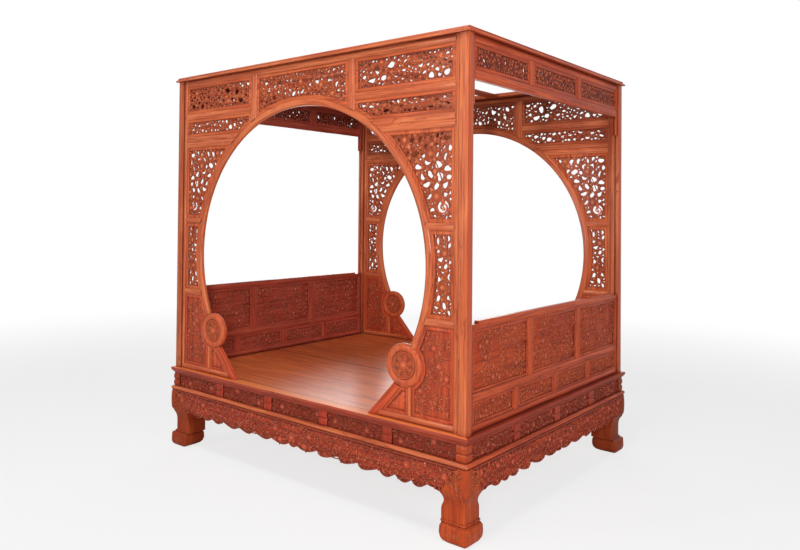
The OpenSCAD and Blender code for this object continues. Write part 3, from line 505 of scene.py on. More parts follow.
class Chisel:
    """Carves forms into a list of shells. Openwork forms have the same face on both sides;
    forms on a ground are filled where they meet it."""

    def __init__(self, openwork, base, depth):
        self.openwork, self.base, self.depth, self.shells = openwork, base, depth, []

    def sheets(self, u, v, turn, along, across, height):
        """Sheets drawn at the origin, turned and moved; height is a share of the depth."""
        turn = np.asarray(turn, float)[:, None, None]
        x = np.asarray(u)[:, None, None] + along * np.cos(turn) - across * np.sin(turn)
        y = np.asarray(v)[:, None, None] + along * np.sin(turn) + across * np.cos(turn)
        count, m, n = x.shape
        height = np.broadcast_to(height, x.shape).copy()
        height[:, [0, -1]] = 0
        height[:, :, [0, -1]] = 0
        top = np.stack([x, y, self.base + self.depth * height], -1)
        points, relief, faces = top.reshape(count, -1, 3), height.reshape(count, -1), capped_faces(m, n)
        if self.openwork:
            under = (top * [1, 1, -1])[:, 1:-1, 1:-1].reshape(count, -1, 3)
            relief = np.concatenate([relief, height[:, 1:-1, 1:-1].reshape(count, -1)], 1)
            points, faces = np.concatenate([points, under], 1), pod_faces(m, n)
        self.shells.append((points, faces, np.clip(relief, 0, 1)))

    def leaves(self, u, v, turn, length, width, bend, lift):
        """Leaves: a lens bent along a parabola with a toothed edge, its two halves raised on
        both sides of a sunken midrib."""
        count, rows = len(u), 6 if self.openwork else 5
        s = np.linspace(0, 1, rows)[None, :, None]
        t = np.array([-1, -0.55, 0, 0.55, 1])[None, None, :]
        length, width, bend, lift = (spread(x, count) for x in (length, width, bend, lift))
        lens = np.sin(np.pi * np.clip(s, 0.02, 0.985) ** 0.8) ** 0.8
        teeth = np.cos(2 * np.pi * LEAF_TEETH * s)
        half = width * (lens * (1 + 0.16 * teeth) + 0.04)
        slope = bend * (1 - 2 * s)
        norm = np.sqrt(1 + slope**2)
        along = length * s - t * half * slope / norm
        across = length * bend * s * (1 - s) + t * half / norm
        ridge = np.where(np.abs(t) > 0.3, 1.0, 0.66) + 0.10 * teeth
        self.sheets(u, v, turn, along, across, lift * ridge * (0.75 + 0.25 * np.sin(np.pi * s)))

    def petals(self, u, v, turn, length, width, lift):
        """Petals: a rounded fan, low at the heart, rising outwards, dished along its middle."""
        k = len(u)
        s = np.array([0, 0.3, 0.72, 1.0])[None, :, None]
        t = np.array([-1, -0.6, 0, 0.6, 1])[None, None, :]
        length, width, lift = (spread(x, k) for x in (length, width, lift))
        half = width * (0.25 + 0.75 * np.sin(np.pi * (0.08 + 0.74 * s)) ** 0.7)
        along = length * (s - 0.14 * s * np.abs(t) ** 2 + 0.05 * s * np.cos(np.pi * t))
        dish = 1 - 0.45 * (1 - t**2) * s
        self.sheets(u, v, turn, along, t * half, lift * (0.6 + 0.4 * s) * dish)

    def knobs(self, u, v, radius, lift):
        """Round knobs: half an ellipse turned about its axis, or a whole one in openwork."""
        count = len(u)
        rise = np.linspace(0, KNOB_BRIM, KNOB_ROWS + 1)
        if self.openwork:
            rise = np.concatenate([-rise[:0:-1], rise])
        angles = 2 * np.pi * np.arange(KNOB_POINTS) / KNOB_POINTS
        radius, lift = spread(radius, count), spread(lift, count)
        ring, height = np.cos(rise)[None, :, None], np.sin(rise)[None, :, None]
        x = np.asarray(u)[:, None, None] + radius * ring * np.cos(angles)
        y = np.asarray(v)[:, None, None] + radius * ring * np.sin(angles)
        z = self.base + self.depth * lift * height + 0 * x
        points = np.stack([x, y, z], -1).reshape(count, -1, 3)
        relief = np.clip(np.abs(lift * height + 0 * x), 0, 1).reshape(count, -1)
        self.shells.append((points, tube_faces(len(rise), KNOB_POINTS), relief))

    def stems(self, paths, start, end, lift):
        """Stems along paths (copies, m, 2): a ridged bar whose width runs from start to end."""
        paths = np.asarray(paths, float)
        count, m = paths.shape[:2]
        k = 6 if self.openwork else 4
        along = np.gradient(paths, axis=1)
        along /= np.linalg.norm(along, axis=-1, keepdims=True) + 1e-9
        normal = np.stack([-along[..., 1], along[..., 0]], -1)
        s = np.linspace(0, 1, m)[None]
        start, end = spread(start, count)[..., 0], spread(end, count)[..., 0]
        radius = start + (end - start) * s
        for from_end in (s, 1 - s):
            radius = radius * np.clip(0.45 + 4 * from_end, 0, 1)
        angles = np.pi / 2 + 2 * np.pi * np.arange(k) / k
        flat = paths[:, :, None] + (radius[..., None] * np.cos(angles))[..., None] * normal[:, :, None]
        rise = np.sin(angles) if self.openwork else np.maximum(np.sin(angles), -0.15)
        height = spread(lift, count) * rise + 0 * flat[..., 0]
        points = np.concatenate([flat, (self.base + self.depth * height)[..., None]], -1)
        self.shells.append((points.reshape(count, -1, 3), tube_faces(m, k),
                            np.clip(np.abs(height), 0, 1).reshape(count, -1)))

    def flowers(self, u, v, radius, spin):
        """Peonies: rings of petals, each smaller and higher, round a knobbed heart, with
        leaves showing between the outer petals."""
        for number, reach, wide, lift in ((6, 1.0, 0.58, 0.66), (5, 0.70, 0.44, 0.9), (4, 0.42, 0.30, 1.1)):
            turn = (spin[:, None] + 2 * np.pi * np.arange(number) / number + 3 * reach).ravel()
            rr = np.repeat(radius, number)
            self.petals(np.repeat(u, number), np.repeat(v, number), turn, reach * rr, wide * rr, lift)
        self.knobs(u, v, 0.20 * radius, 1.2)
        turn = (spin[:, None] + 2 * np.pi * (np.arange(6) + 0.5) / 6 + 3).ravel()
        uu, vv, rr = (np.repeat(a, 6) for a in (u, v, radius))
        self.leaves(uu + 0.7 * rr * np.cos(turn), vv + 0.7 * rr * np.sin(turn), turn, 0.75 * rr,
                    0.24 * rr, 0.25, 0.5)

    def curls(self, u, v, radius, start, hand, thick=GROUND_TENDRIL):
        """Tendrils that curl in to a bud: the radius shrinks as the turn goes on. Two leaves
        grow from each."""
        s = np.linspace(0, 1, CURL_POINTS)[None]
        angle = start[:, None] + hand[:, None] * 2 * np.pi * CURL_TURNS * s
        r = CURL_START * radius[:, None] * (1 - CURL_SHRINK * s**CURL_EASE)
        paths = np.stack([u[:, None] + r * np.cos(angle), v[:, None] + r * np.sin(angle)], -1)
        self.stems(paths, thick * radius, 0.65 * thick * radius, 0.8)
        self.knobs(paths[:, -1, 0], paths[:, -1, 1], 0.24 * radius, 0.95)
        for way, reach in ((0.30, 1.0), (0.52, 0.85)):
            at = start + hand * 2 * np.pi * CURL_TURNS * way
            r = CURL_START * radius * (1 - CURL_SHRINK * way**CURL_EASE)
            self.leaves(u + r * np.cos(at), v + r * np.sin(at), at + hand * 0.8, reach * radius,
                        0.25 * radius, 0.45 * hand, 0.75)


# Kinds of form that a circle can stand for
FLOWER, CURL, FAN, LEAF, HOLE = range(5)

# Waves of the patches, the grid of tries and its jitter as shares of a radius, how close circles
# come to each other and how much closer to the rim, and points of an arc
WAVES = 5
GRID_STEP, JITTER = 0.40, 0.4
TIGHT, RIM_CLOSER = 0.86, 0.08
ARC_ROWS = 5

# Levels of the patches above which forms are kept: everywhere, in most of a panel, in half of it
EVERYWHERE, MOST, HALF = -2.0, -0.32, -0.12


def patches(u, v, seed):
    """A slow field of waves, from -1 to 1, that gathers forms in patches."""
    draw = np.random.default_rng(seed)
    turn, phase = draw.uniform(0, FULL_TURN, WAVES), draw.uniform(0, FULL_TURN, WAVES)
    pitch = draw.uniform(35, 60, WAVES)
    waves = [np.sin(k * (u * math.cos(a) + v * math.sin(a)) + b) for k, a, b in zip(pitch, turn, phase)]
    return sum(waves) / WAVES


def packed(room, low, high, sizes, seed, given=(), tight=TIGHT, least=EVERYWHERE):
    """Circles that fill an opening, largest first. Tries lie on a jittered grid; each is kept
    if clear of the rim and of the circles kept before. Rows are u, v, radius and kind."""
    draw = np.random.default_rng(seed)
    kept = np.array([list(c) for c in given], float).reshape(-1, 4)
    for kind, r, most in sizes:
        step = GRID_STEP * r
        gu, gv = np.meshgrid(np.arange(low[0], high[0], step), np.arange(low[1], high[1], step))
        aside = draw.uniform(-JITTER, JITTER, (gu.size, 2)) * step
        tries = np.stack([gu.ravel(), gv.ravel()], -1) + aside
        tries = tries[(room(tries[:, 0], tries[:, 1]) > (tight - RIM_CLOSER) * r)
                      & (patches(tries[:, 0], tries[:, 1], seed) > least)]
        draw.shuffle(tries)
        gap = np.full(len(tries), 1.0)
        if len(kept):
            between = np.hypot(tries[:, None, 0] - kept[None, :, 0], tries[:, None, 1] - kept[None, :, 1])
            gap = np.min(between - kept[None, :, 2], 1)
        found = 0
        while found < most and len(tries):
            free = gap > tight * r
            tries, gap = tries[free], gap[free]
            if len(tries) == 0:
                break
            p, tries, gap = tries[0], tries[1:], gap[1:]
            kept = np.vstack([kept, [p[0], p[1], r, kind]])
            gap = np.minimum(gap, np.hypot(tries[:, 0] - p[0], tries[:, 1] - p[1]) - r)
            found += 1
    return kept


def arc_paths(a, b, bulge):
    """Shallow arcs from points a to points b, bulging aside by a share of their length."""
    a, b = np.asarray(a, float)[:, None], np.asarray(b, float)[:, None]
    s = np.linspace(0, 1, ARC_ROWS)[None, :, None]
    d = b - a
    side = np.concatenate([-d[..., 1:], d[..., :1]], -1)
    return a + d * s + side * np.asarray(bulge)[:, None, None] * 4 * s * (1 - s)


def foliage(chisel, circles, seed):
    """Carves packed circles as peonies, curling tendrils, fans of leaves and single leaves.
    Each hangs by a stem from the nearest circle packed before it and grows away from it."""
    draw = np.random.default_rng(seed)
    u, v, r, kind = circles.T
    n = len(u)
    parent = np.zeros(n, int)
    for i in range(1, n):
        parent[i] = np.argmin(np.hypot(u[:i] - u[i], v[:i] - v[i]) - r[:i])
    away = np.arctan2(v - v[parent], u - u[parent]) + 0.01
    hand = draw.choice([-1.0, 1.0], n)
    swing = draw.uniform(0.2, 0.8, n) * hand
    size = draw.uniform(0.9, 1.12, n)

    pick = kind == FLOWER
    if pick.any():
        chisel.flowers(u[pick], v[pick], r[pick], draw.uniform(0, 6, pick.sum()))
    pick = kind == CURL
    if pick.any():
        chisel.curls(u[pick], v[pick], r[pick] * size[pick], away[pick] + np.pi, hand[pick],
                     OPEN_TENDRIL if chisel.openwork else GROUND_TENDRIL)
    pick = kind == FAN
    if pick.any():
        a, q, h = away[pick], r[pick] * size[pick], hand[pick]
        bu, bv = u[pick] - FAN_ROOT * q * np.cos(a), v[pick] - FAN_ROOT * q * np.sin(a)
        for side in (-1, 1):
            chisel.leaves(bu, bv, a + side * 0.95 + 0.2 * h, 1.5 * q, 0.36 * q, -0.35 * side, 0.72)
        chisel.leaves(bu, bv, a + 0.2 * h, 2.0 * q, 0.46 * q, 0.2 * h, 0.92)
    pick = kind == LEAF
    if pick.any():
        a, q = away[pick] + swing[pick], r[pick] * size[pick]
        chisel.leaves(u[pick] - q * np.cos(a), v[pick] - q * np.sin(a), a, 2.15 * q, 0.62 * q,
                      0.3 * hand[pick], 0.8)

    child = (np.arange(n) > 0) & (kind < FAN)
    tip = np.choose(kind.astype(int), [0.0, CURL_START, FAN_ROOT, 1.0]) * r
    end = np.stack([u - tip * np.cos(away), v - tip * np.sin(away)], -1)[child]
    begin = np.stack([u[parent], v[parent]], -1)[child]
    if child.any():
        chisel.stems(arc_paths(begin, end, STEM_BULGE * hand[child]), STEM_START, STEM_END, STEM_LIFT)


# Carving of a panel: how far it sinks into the ground, how high it stands there, and how high in
# openwork. Shares of a border's width that carving stays clear of, and that the web reaches under.
GROUND_SINK, GROUND_DEPTH, OPEN_DEPTH = 0.0004, 0.0052, 0.0075
BORDER_CLEAR, BORDER_UNDER = 0.9, 0.85

# Share of a hole that other forms keep clear of, and the round eye of a given curl: its share of
# the curl and the depth of its cusps
HOLE_SHARE = 0.66
EYE_SHARE, EYE_CUSPS = 0.84, 0.06


def panel(opening, low, high, forms, seed, gaps=None, width=BORDER, board=None, given=(), least=MOST,
          lie=None):
    """Shells of one panel: its border and foliage, over a pierced web where gaps are given, else
    over the ground. The second list holds the same carving for the other face of a ground."""
    edges = opening[0]

    def room(u, v):
        """Distance into the opening from the inner side of its border."""
        return inside(edges, u, v) - BORDER_CLEAR * width

    shells = [border_shell(opening, width)]
    if gaps is None:
        chisel = Chisel(False, GROUND - GROUND_SINK, GROUND_DEPTH)
        foliage(chisel, packed(room, low, high, forms, seed, given, least=least), seed + 1)
        shells += chisel.shells + [board_shell(*board)]
        return shells, chisel.shells
    chisel = Chisel(True, 0.0, OPEN_DEPTH)
    taken = np.array([list(c) for c in given], float).reshape(-1, 4)
    sizes = [(HOLE, HOLE_ROOM * r, most) for r, most in gaps]
    gap_circles = packed(room, low, high, sizes, seed + 5, taken, 1.0, least)[len(taken):]
    kept_clear = np.concatenate([taken, gap_circles * [1, 1, HOLE_SHARE, 1]])
    circles = packed(room, low, high, forms, seed, kept_clear)
    foliage(chisel, circles[circles[:, 3] != HOLE], seed + 1)
    eyes = taken[taken[:, 3] == CURL] * [1, 1, EYE_SHARE * HOLE_ROOM, 1]
    holes = Holes(np.concatenate([gap_circles, eyes]), seed + 9, lie)
    holes.depth[len(gap_circles):] = EYE_CUSPS
    holes.stretch[len(gap_circles):], holes.bend[len(gap_circles):] = 1.0, 0.0
    shells += chisel.shells + [web_shell(opening, BORDER_UNDER * width, holes)]
    return shells, []


# The panels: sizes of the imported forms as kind, radius and the most of them, and of the gaps
FRIEZE_FORMS = [(CURL, 0.026, 3), (FLOWER, 0.021, 3), (CURL, 0.019, 7), (FAN, 0.0165, 16),
                (FAN, 0.012, 40), (LEAF, 0.0085, 120), (LEAF, 0.0060, 130)]
FRIEZE_GAPS = [(0.0290, 3), (0.0210, 8), (0.0150, 18), (0.0105, 30), (0.0078, 40)]
SPANDREL_FORMS = [(CURL, 0.036, 4), (FLOWER, 0.024, 3), (CURL, 0.024, 8), (FAN, 0.020, 16),
                  (FAN, 0.0145, 40), (LEAF, 0.0105, 110), (LEAF, 0.0072, 150)]
SPANDREL_GAPS = [(0.0250, 18), (0.0215, 34), (0.0170, 56), (0.0120, 90), (0.0084, 120)]
JAMB_FORMS = [(FLOWER, 0.022, 2), (CURL, 0.022, 2), (CURL, 0.018, 4), (FAN, 0.0175, 12),
              (FAN, 0.012, 24), (LEAF, 0.009, 60), (LEAF, 0.0064, 70)]
JAMB_GAPS = [(0.0200, 6), (0.0160, 10), (0.0120, 16), (0.0085, 30)]
LOWER_FORMS = [(CURL, 0.022, 4), (FLOWER, 0.020, 4), (CURL, 0.016, 9), (FAN, 0.0140, 26),
               (FAN, 0.010, 50), (LEAF, 0.0075, 120)]
RAILING_FORMS = [(CURL, 0.024, 5), (FLOWER, 0.021, 6), (CURL, 0.017, 12), (FAN, 0.0150, 34),
                 (FAN, 0.0116, 80), (LEAF, 0.0088, 200)]
SMALL_FORMS = [(CURL, 0.019, 5), (FLOWER, 0.017, 3), (FAN, 0.0125, 20), (FAN, 0.0100, 30),
               (LEAF, 0.0080, 80)]
LOW_GAPS = [(0.0215, 5), (0.0165, 9), (0.0118, 16), (0.0082, 28)]
END_GAPS = [(0.0150, 3), (0.0105, 6), (0.0075, 10)]
WAIST_FORMS = [(FLOWER, 0.020, 2), (CURL, 0.020, 8), (CURL, 0.014, 10), (FAN, 0.012, 26),
               (LEAF, 0.0085, 80)]
APRON_FORMS = [(CURL, 0.028, 8), (FLOWER, 0.024, 4), (CURL, 0.019, 14), (FAN, 0.0155, 40),
               (FAN, 0.0115, 60), (LEAF, 0.0085, 160)]

# First seed of the random draws of each kind of panel
SEEDS = {"up": 11, "low": 23, "mid": 31, "spandrel": 43, "jamb": 57, "lower": 61, "corner": 71,
         "end_frieze": 82, "railing": 96, "railing_small": 111, "waist": 131, "waist_forms": 141,
         "apron": 151, "apron_forms": 161}

# Gap between a medallion and the panels that are cut out round it
SEAT = 0.0003

ring = hole_edge(0, GATE_Z, RING_OUT)
medal = hole_edge(MEDAL_X, MEDAL_Z, MEDAL_R + SEAT)


def level(v):
    """Edge that keeps what lies above a height."""
    return line_edge(0, 1, v)


def below(v):
    """Edge that keeps what lies under a height."""
    return line_edge(0, -1, -v)


# Openings beside the ring as edges and corners. Corners at the ring, a medallion or a strut are
# rough guesses, which corner() works out.
MID_LOW, SPANDREL_LEFT, JAMB_LEFT, CORNER_LEFT = 2.07, 0.59, 0.86, 0.60
right_stile = line_edge(-1, 0, -STILE_X)

frieze_up = box_opening(MUNTIN_OUT, STILE_X, UP_LOW, UP_TOP)
frieze_low = (
    [level(LOW_LOW), right_stile, below(LOW_TOP), line_edge(1, 0, MUNTIN_OUT), ring],
    [(0.50, LOW_LOW), (STILE_X, LOW_LOW), (STILE_X, LOW_TOP), (MUNTIN_OUT, LOW_TOP), (MUNTIN_OUT, 2.05)])
frieze_mid = (
    [ring, line_edge(-1, 0, -MUNTIN_IN), below(UP_TOP), line_edge(1, 0, -MUNTIN_IN)],
    [(-MUNTIN_IN, MID_LOW), (MUNTIN_IN, MID_LOW), (MUNTIN_IN, UP_TOP), (-MUNTIN_IN, UP_TOP)])
spandrel = (
    [level(SPANDREL_LOW), right_stile, below(SPANDREL_TOP), ring],
    [(0.87, SPANDREL_LOW), (STILE_X, SPANDREL_LOW), (STILE_X, SPANDREL_TOP),
     (SPANDREL_LEFT, SPANDREL_TOP)])
jamb = (
    [level(JAMB_LOW), right_stile, below(JAMB_TOP), ring],
    [(JAMB_LEFT, JAMB_LOW), (STILE_X, JAMB_LOW), (STILE_X, JAMB_TOP), (0.87, JAMB_TOP)])
lower_left = DIVIDER_X + DIVIDER / 2
lower = (
    [level(JAMB_FOOT), right_stile, below(CARVED_TOP), ring, medal, line_edge(1, 0, lower_left)],
    [(lower_left, JAMB_FOOT), (STILE_X, JAMB_FOOT), (STILE_X, CARVED_TOP), (0.85, CARVED_TOP),
     (0.80, 0.857), (lower_left, 0.677)])
strut_nu, strut_nv = math.sin(STRUT_SLOPE), -math.cos(STRUT_SLOPE)
strut_at = strut_nu * STRUT_X + strut_nv * STRUT_Z + STRUT_HALF
corner_right = DIVIDER_X - DIVIDER / 2
triangle = (
    [level(JAMB_FOOT), line_edge(-1, 0, -corner_right), medal, line_edge(strut_nu, strut_nv, strut_at)],
    [(0.595, JAMB_FOOT), (corner_right, JAMB_FOOT), (corner_right, 0.671), (0.717, 0.668)])

# Grounds: how far their sides lie inside the openings, the height at which the ring takes over
# from the medallion, the corner panel's top and how far under it its ground ends, the panel's
# border, and how far in its raised field lies
CLEAR, BOARD_INSET = 0.006, 0.005
RING_FROM, CORNER_TOP, CORNER_DOWN = 0.80, 0.67, 0.003
CORNER_BORDER, FIELD_INSET = 0.016, 0.026

# Forms given as u, v, radius and kind: a flower over the gate and a curl low in a spandrel
MID_FLOWER = (0, UP_TOP - 0.075, 0.030, FLOWER)
SPANDREL_CURL = (STILE_X - 0.072, SPANDREL_LOW + 0.075, 0.042, CURL)


def lower_edge(v):
    """Left side of the lower panel's ground: the upright, then the medallion, then the ring."""
    dent = np.sqrt(np.maximum((MEDAL_R + CLEAR) ** 2 - (v - MEDAL_Z) ** 2, 0))
    bulge = np.sqrt((RING_OUT + CLEAR) ** 2 - (v - GATE_Z) ** 2)
    return np.maximum(np.maximum(lower_left + CLEAR, MEDAL_X + dent), np.where(v > RING_FROM, bulge, 0))


def strut_edge(v):
    """Left side of the corner panel's ground, along the strut."""
    return (strut_at + CLEAR - strut_nv * v) / strut_nu


def flat_edge(at):
    """An upright side of a ground, the same at every height."""
    return lambda v: np.full_like(v, at)


def box_board(opening_box, inset=BOARD_INSET):
    """Sides, foot and top of the ground of a rectangular opening."""
    u0, u1, v0, v1 = opening_box
    return flat_edge(u0 + inset), flat_edge(u1 - inset), v0 + inset, v1 - inset


parts = {
    "up": panel(frieze_up, (MUNTIN_OUT, UP_LOW), (STILE_X, UP_TOP), FRIEZE_FORMS, SEEDS["up"],
                FRIEZE_GAPS, lie=0),
    "low": panel(frieze_low, (MUNTIN_OUT, LOW_LOW), (STILE_X, LOW_TOP), SMALL_FORMS, SEEDS["low"],
                 LOW_GAPS, lie=0),
    "mid": panel(frieze_mid, (-MUNTIN_IN, MID_LOW), (MUNTIN_IN, UP_TOP), FRIEZE_FORMS, SEEDS["mid"],
                 FRIEZE_GAPS, given=[MID_FLOWER]),
    "spandrel": panel(spandrel, (SPANDREL_LEFT, SPANDREL_LOW), (STILE_X, SPANDREL_TOP), SPANDREL_FORMS,
                      SEEDS["spandrel"], SPANDREL_GAPS, given=[SPANDREL_CURL]),
    "jamb": panel(jamb, (JAMB_LEFT, JAMB_LOW), (STILE_X, JAMB_TOP), JAMB_FORMS, SEEDS["jamb"], JAMB_GAPS),
    "lower": panel(lower, (lower_left, JAMB_FOOT), (STILE_X, CARVED_TOP), LOWER_FORMS, SEEDS["lower"],
                   board=(lower_edge, flat_edge(STILE_X - BOARD_INSET), JAMB_FOOT + BOARD_INSET,
                          CARVED_TOP - BOARD_INSET)),
    "corner": panel(triangle, (CORNER_LEFT, JAMB_FOOT), (corner_right, CORNER_TOP), SMALL_FORMS[1:],
                    SEEDS["corner"], width=CORNER_BORDER,
                    board=(strut_edge, flat_edge(corner_right - BOARD_INSET), JAMB_FOOT + BOARD_INSET,
                           CORNER_TOP - CORNER_DOWN)),
}

corner_field = field_shell(triangle, FIELD_INSET)
for faces_out in parts["corner"]:
    faces_out.append(corner_field)


def gate_pieces(side, materials):
    """Carved panels of one gate screen, the right half mirrored for the left."""
    name = SIDE_NAMES[side]
    frieze, pierced, carved = Carving(), Carving(), Carving()
    for mirror in (1, -1):
        place = screen_place(side, mirror)
        for part in ("up", "low"):
            frieze.put(parts[part][0], place)
        for part in ("spandrel", "jamb"):
            pierced.put(parts[part][0], place)
        for part in ("lower", "corner"):
            carved.put(parts[part][0], place)
            carved.put(parts[part][1], screen_place(side, mirror, inner=True))
    frieze.put(parts["mid"][0], screen_place(side))
    # the rear frieze gets the painted-shade copy of the openwork
    frieze.piece(name + "_frieze_openwork", materials["open_x" if side == FRONT else "rear_open_x_shaded"],
                 "carved_wood", name + "_frieze_panels")
    pierced.piece(name + "_gate_openwork", materials["open_z"], "carved_wood", name + "_pierced_panels")
    carved.piece(name + "_jamb_reliefs", materials["relief_z"], "carved_wood", name + "_carved_panels")


# Width of the borders of the railing panels
SLIM_BORDER = 0.0155


def end_row(carving, side, pitch, count, low, high, forms, seed, gaps=None, width=SLIM_BORDER,
            least=MOST):
    """Adds a row of equal panels of an end, and the carving of their inner faces."""
    half = (pitch - MUNTIN) / 2
    box = (-half, half, low, high)
    for i in range(count):
        centre = (i - (count - 1) / 2) * pitch
        shells, inner = panel(box_opening(*box), (-half, low), (half, high), forms, seed + i, gaps, width,
                              box_board(box), least=least)
        carving.put(shells, screen_place(side, centre=centre))
        carving.put(inner, screen_place(side, centre=centre, inner=True))


def end_pieces(side, materials):
    """Frieze openwork and railing reliefs of one end."""
    name = SIDE_NAMES[side]
    frieze, railing = Carving(), Carving()
    end_row(frieze, side, THIRD, 3, END_LOW, UP_TOP, SMALL_FORMS, SEEDS["end_frieze"], END_GAPS, BORDER)
    end_row(railing, side, THIRD, 3, RAILING_LOW, RAILING_TOP, RAILING_FORMS, SEEDS["railing"], least=HALF)
    end_row(railing, side, QUARTER, 4, JAMB_FOOT, RAILING_SMALL, SMALL_FORMS, SEEDS["railing_small"])
    frieze.piece(name + "_frieze_openwork", materials["open_y"], "carved_wood", name + "_frieze_panels")
    railing.piece(name + "_railing_reliefs", materials["relief_y"], "carved_wood", name + "_railing_panels")


# Section of a medallion: radius and height of its face
MEDAL_FACE = np.array([
    [0.003, 0.0112], [0.030, 0.0112], [0.0605, 0.0110], [0.0618, 0.0132], [0.0645, 0.0146],
    [0.0672, 0.0132], [0.0685, 0.0106], [0.0702, 0.0106], [0.0722, 0.0140], [0.0765, 0.0170],
    [0.0860, 0.0186], [0.0950, 0.0176], [0.1020, 0.0146], [0.1058, 0.0100], [MEDAL_R, 0.0045]])

# Points round a medallion, ground and height of its rosette, and the radii past which its raised
# rings, and then all of it, are coloured as plain wood
MEDAL_POINTS = 96
MEDAL_GROUND, MEDAL_DEPTH = 0.0108, 0.0062
RIM_FROM, FLANGE_FROM = 0.0615, 0.1

# Rosette of a medallion: a flower, curls and knobs, their sizes, distances out and turns, and
# how high the knobs stand
FLOWER_R, CURL_R, KNOB_R = 0.027, 0.0150, 0.0045
MEDAL_CURLS, CURL_AT, KNOB_AT = 7, 0.0435, 0.0535
FLOWER_TURN, CURL_TURN, KNOB_TURN = 0.3, 2.6, 0.45
KNOB_LIFT = 0.8


def medallion_pieces(side, materials):
    """Medallions: a profile turned about its axis, the same on both faces, with a rosette."""
    name = SIDE_NAMES[side]
    profile = np.concatenate([MEDAL_FACE, MEDAL_FACE[::-1] * [1, -1]])
    angles = 2 * np.pi * np.arange(MEDAL_POINTS) / MEDAL_POINTS
    r, w = profile[:, :1], profile[:, 1:]
    points = np.stack([MEDAL_X + r * np.cos(angles), MEDAL_Z + r * np.sin(angles), w + 0 * r * angles], -1)
    raised = np.abs(profile[:, 1]) > MEDAL_GROUND
    rim = (profile[:, 0] > RIM_FROM) & raised | (profile[:, 0] > FLANGE_FROM)
    relief = np.repeat(np.where(rim, FIELD_RELIEF, 0.0), MEDAL_POINTS)
    chisel = Chisel(False, MEDAL_GROUND, MEDAL_DEPTH)
    chisel.flowers(*np.array([[MEDAL_X], [MEDAL_Z], [FLOWER_R], [FLOWER_TURN]]))
    a = 2 * np.pi * np.arange(MEDAL_CURLS) / MEDAL_CURLS
    chisel.curls(MEDAL_X + CURL_AT * np.cos(a), MEDAL_Z + CURL_AT * np.sin(a), np.full(MEDAL_CURLS, CURL_R),
                 a + CURL_TURN, np.ones(MEDAL_CURLS))
    between = a + KNOB_TURN
    chisel.knobs(MEDAL_X + KNOB_AT * np.cos(between), MEDAL_Z + KNOB_AT * np.sin(between),
                 np.full(MEDAL_CURLS, KNOB_R), KNOB_LIFT)
    medals = Carving()
    for mirror in (1, -1):
        medals.add(screen_place(side, mirror)(points.reshape(-1, 3)), tube_faces(len(profile), MEDAL_POINTS),
                   relief)
        medals.put(chisel.shells, screen_place(side, mirror))
        medals.put(chisel.shells, screen_place(side, mirror, inner=True))
    medals.piece(name + "_medallion_carvings", materials["medallion"], "frame_wood", name + "_medallions")


# Waist panels: how far their middle plane lies in, half their thickness, the ground and height of
# their carving, and how many different carvings take turns
WAIST_NODES = {"waist_panels_front": [FRONT], "waist_panels_rear": [REAR],
               "waist_panels_ends": [LEFT, RIGHT]}
WAIST_FACE, WAIST_BOARD = 0.013, 0.006
WAIST_SINK, WAIST_DEPTH = 0.0055, 0.0080
WAIST_LOOKS = 3

# Waist blocks: rows of their ribs, how far in the ribs start, how far they stand out from there
# and past the outer plane where their relief is full, how far in the backs lie, and the points
# of their section
RIB_ROWS = 25
RIB_IN, RIB_RISE, RIB_FULL = 0.0005, 0.006, 0.004
BLOCK_BACK = 0.028
BLOCK_U = np.array([-BLOCK, -BLOCK, -0.050, -0.02, 0.02, 0.050, BLOCK, BLOCK]) / 2
BLOCK_CORNER = [0, 0.004, 0, 0, 0, 0, 0.004, 0]


def waist_ribs(most_relief):
    """Height, face and relief of the two round ribs of a waist block: the face stands out by
    the root of a sine that runs over both, and the relief grows with it."""
    t = np.linspace(0, 1, RIB_ROWS)
    face = RIB_IN - RIB_RISE * np.sqrt(np.abs(np.sin(2 * np.pi * np.clip(t, 0.02, 0.98))))
    return WAIST_LOW + (WAIST_HIGH - WAIST_LOW) * t, face, np.clip(-face / RIB_FULL, 0.1, most_relief)


def waist_pitch(side):
    """From one waist block of a side to the next."""
    return (SIDE_LEN[side] - 2 * POST + BLOCK) / WAIST_COUNT[side]


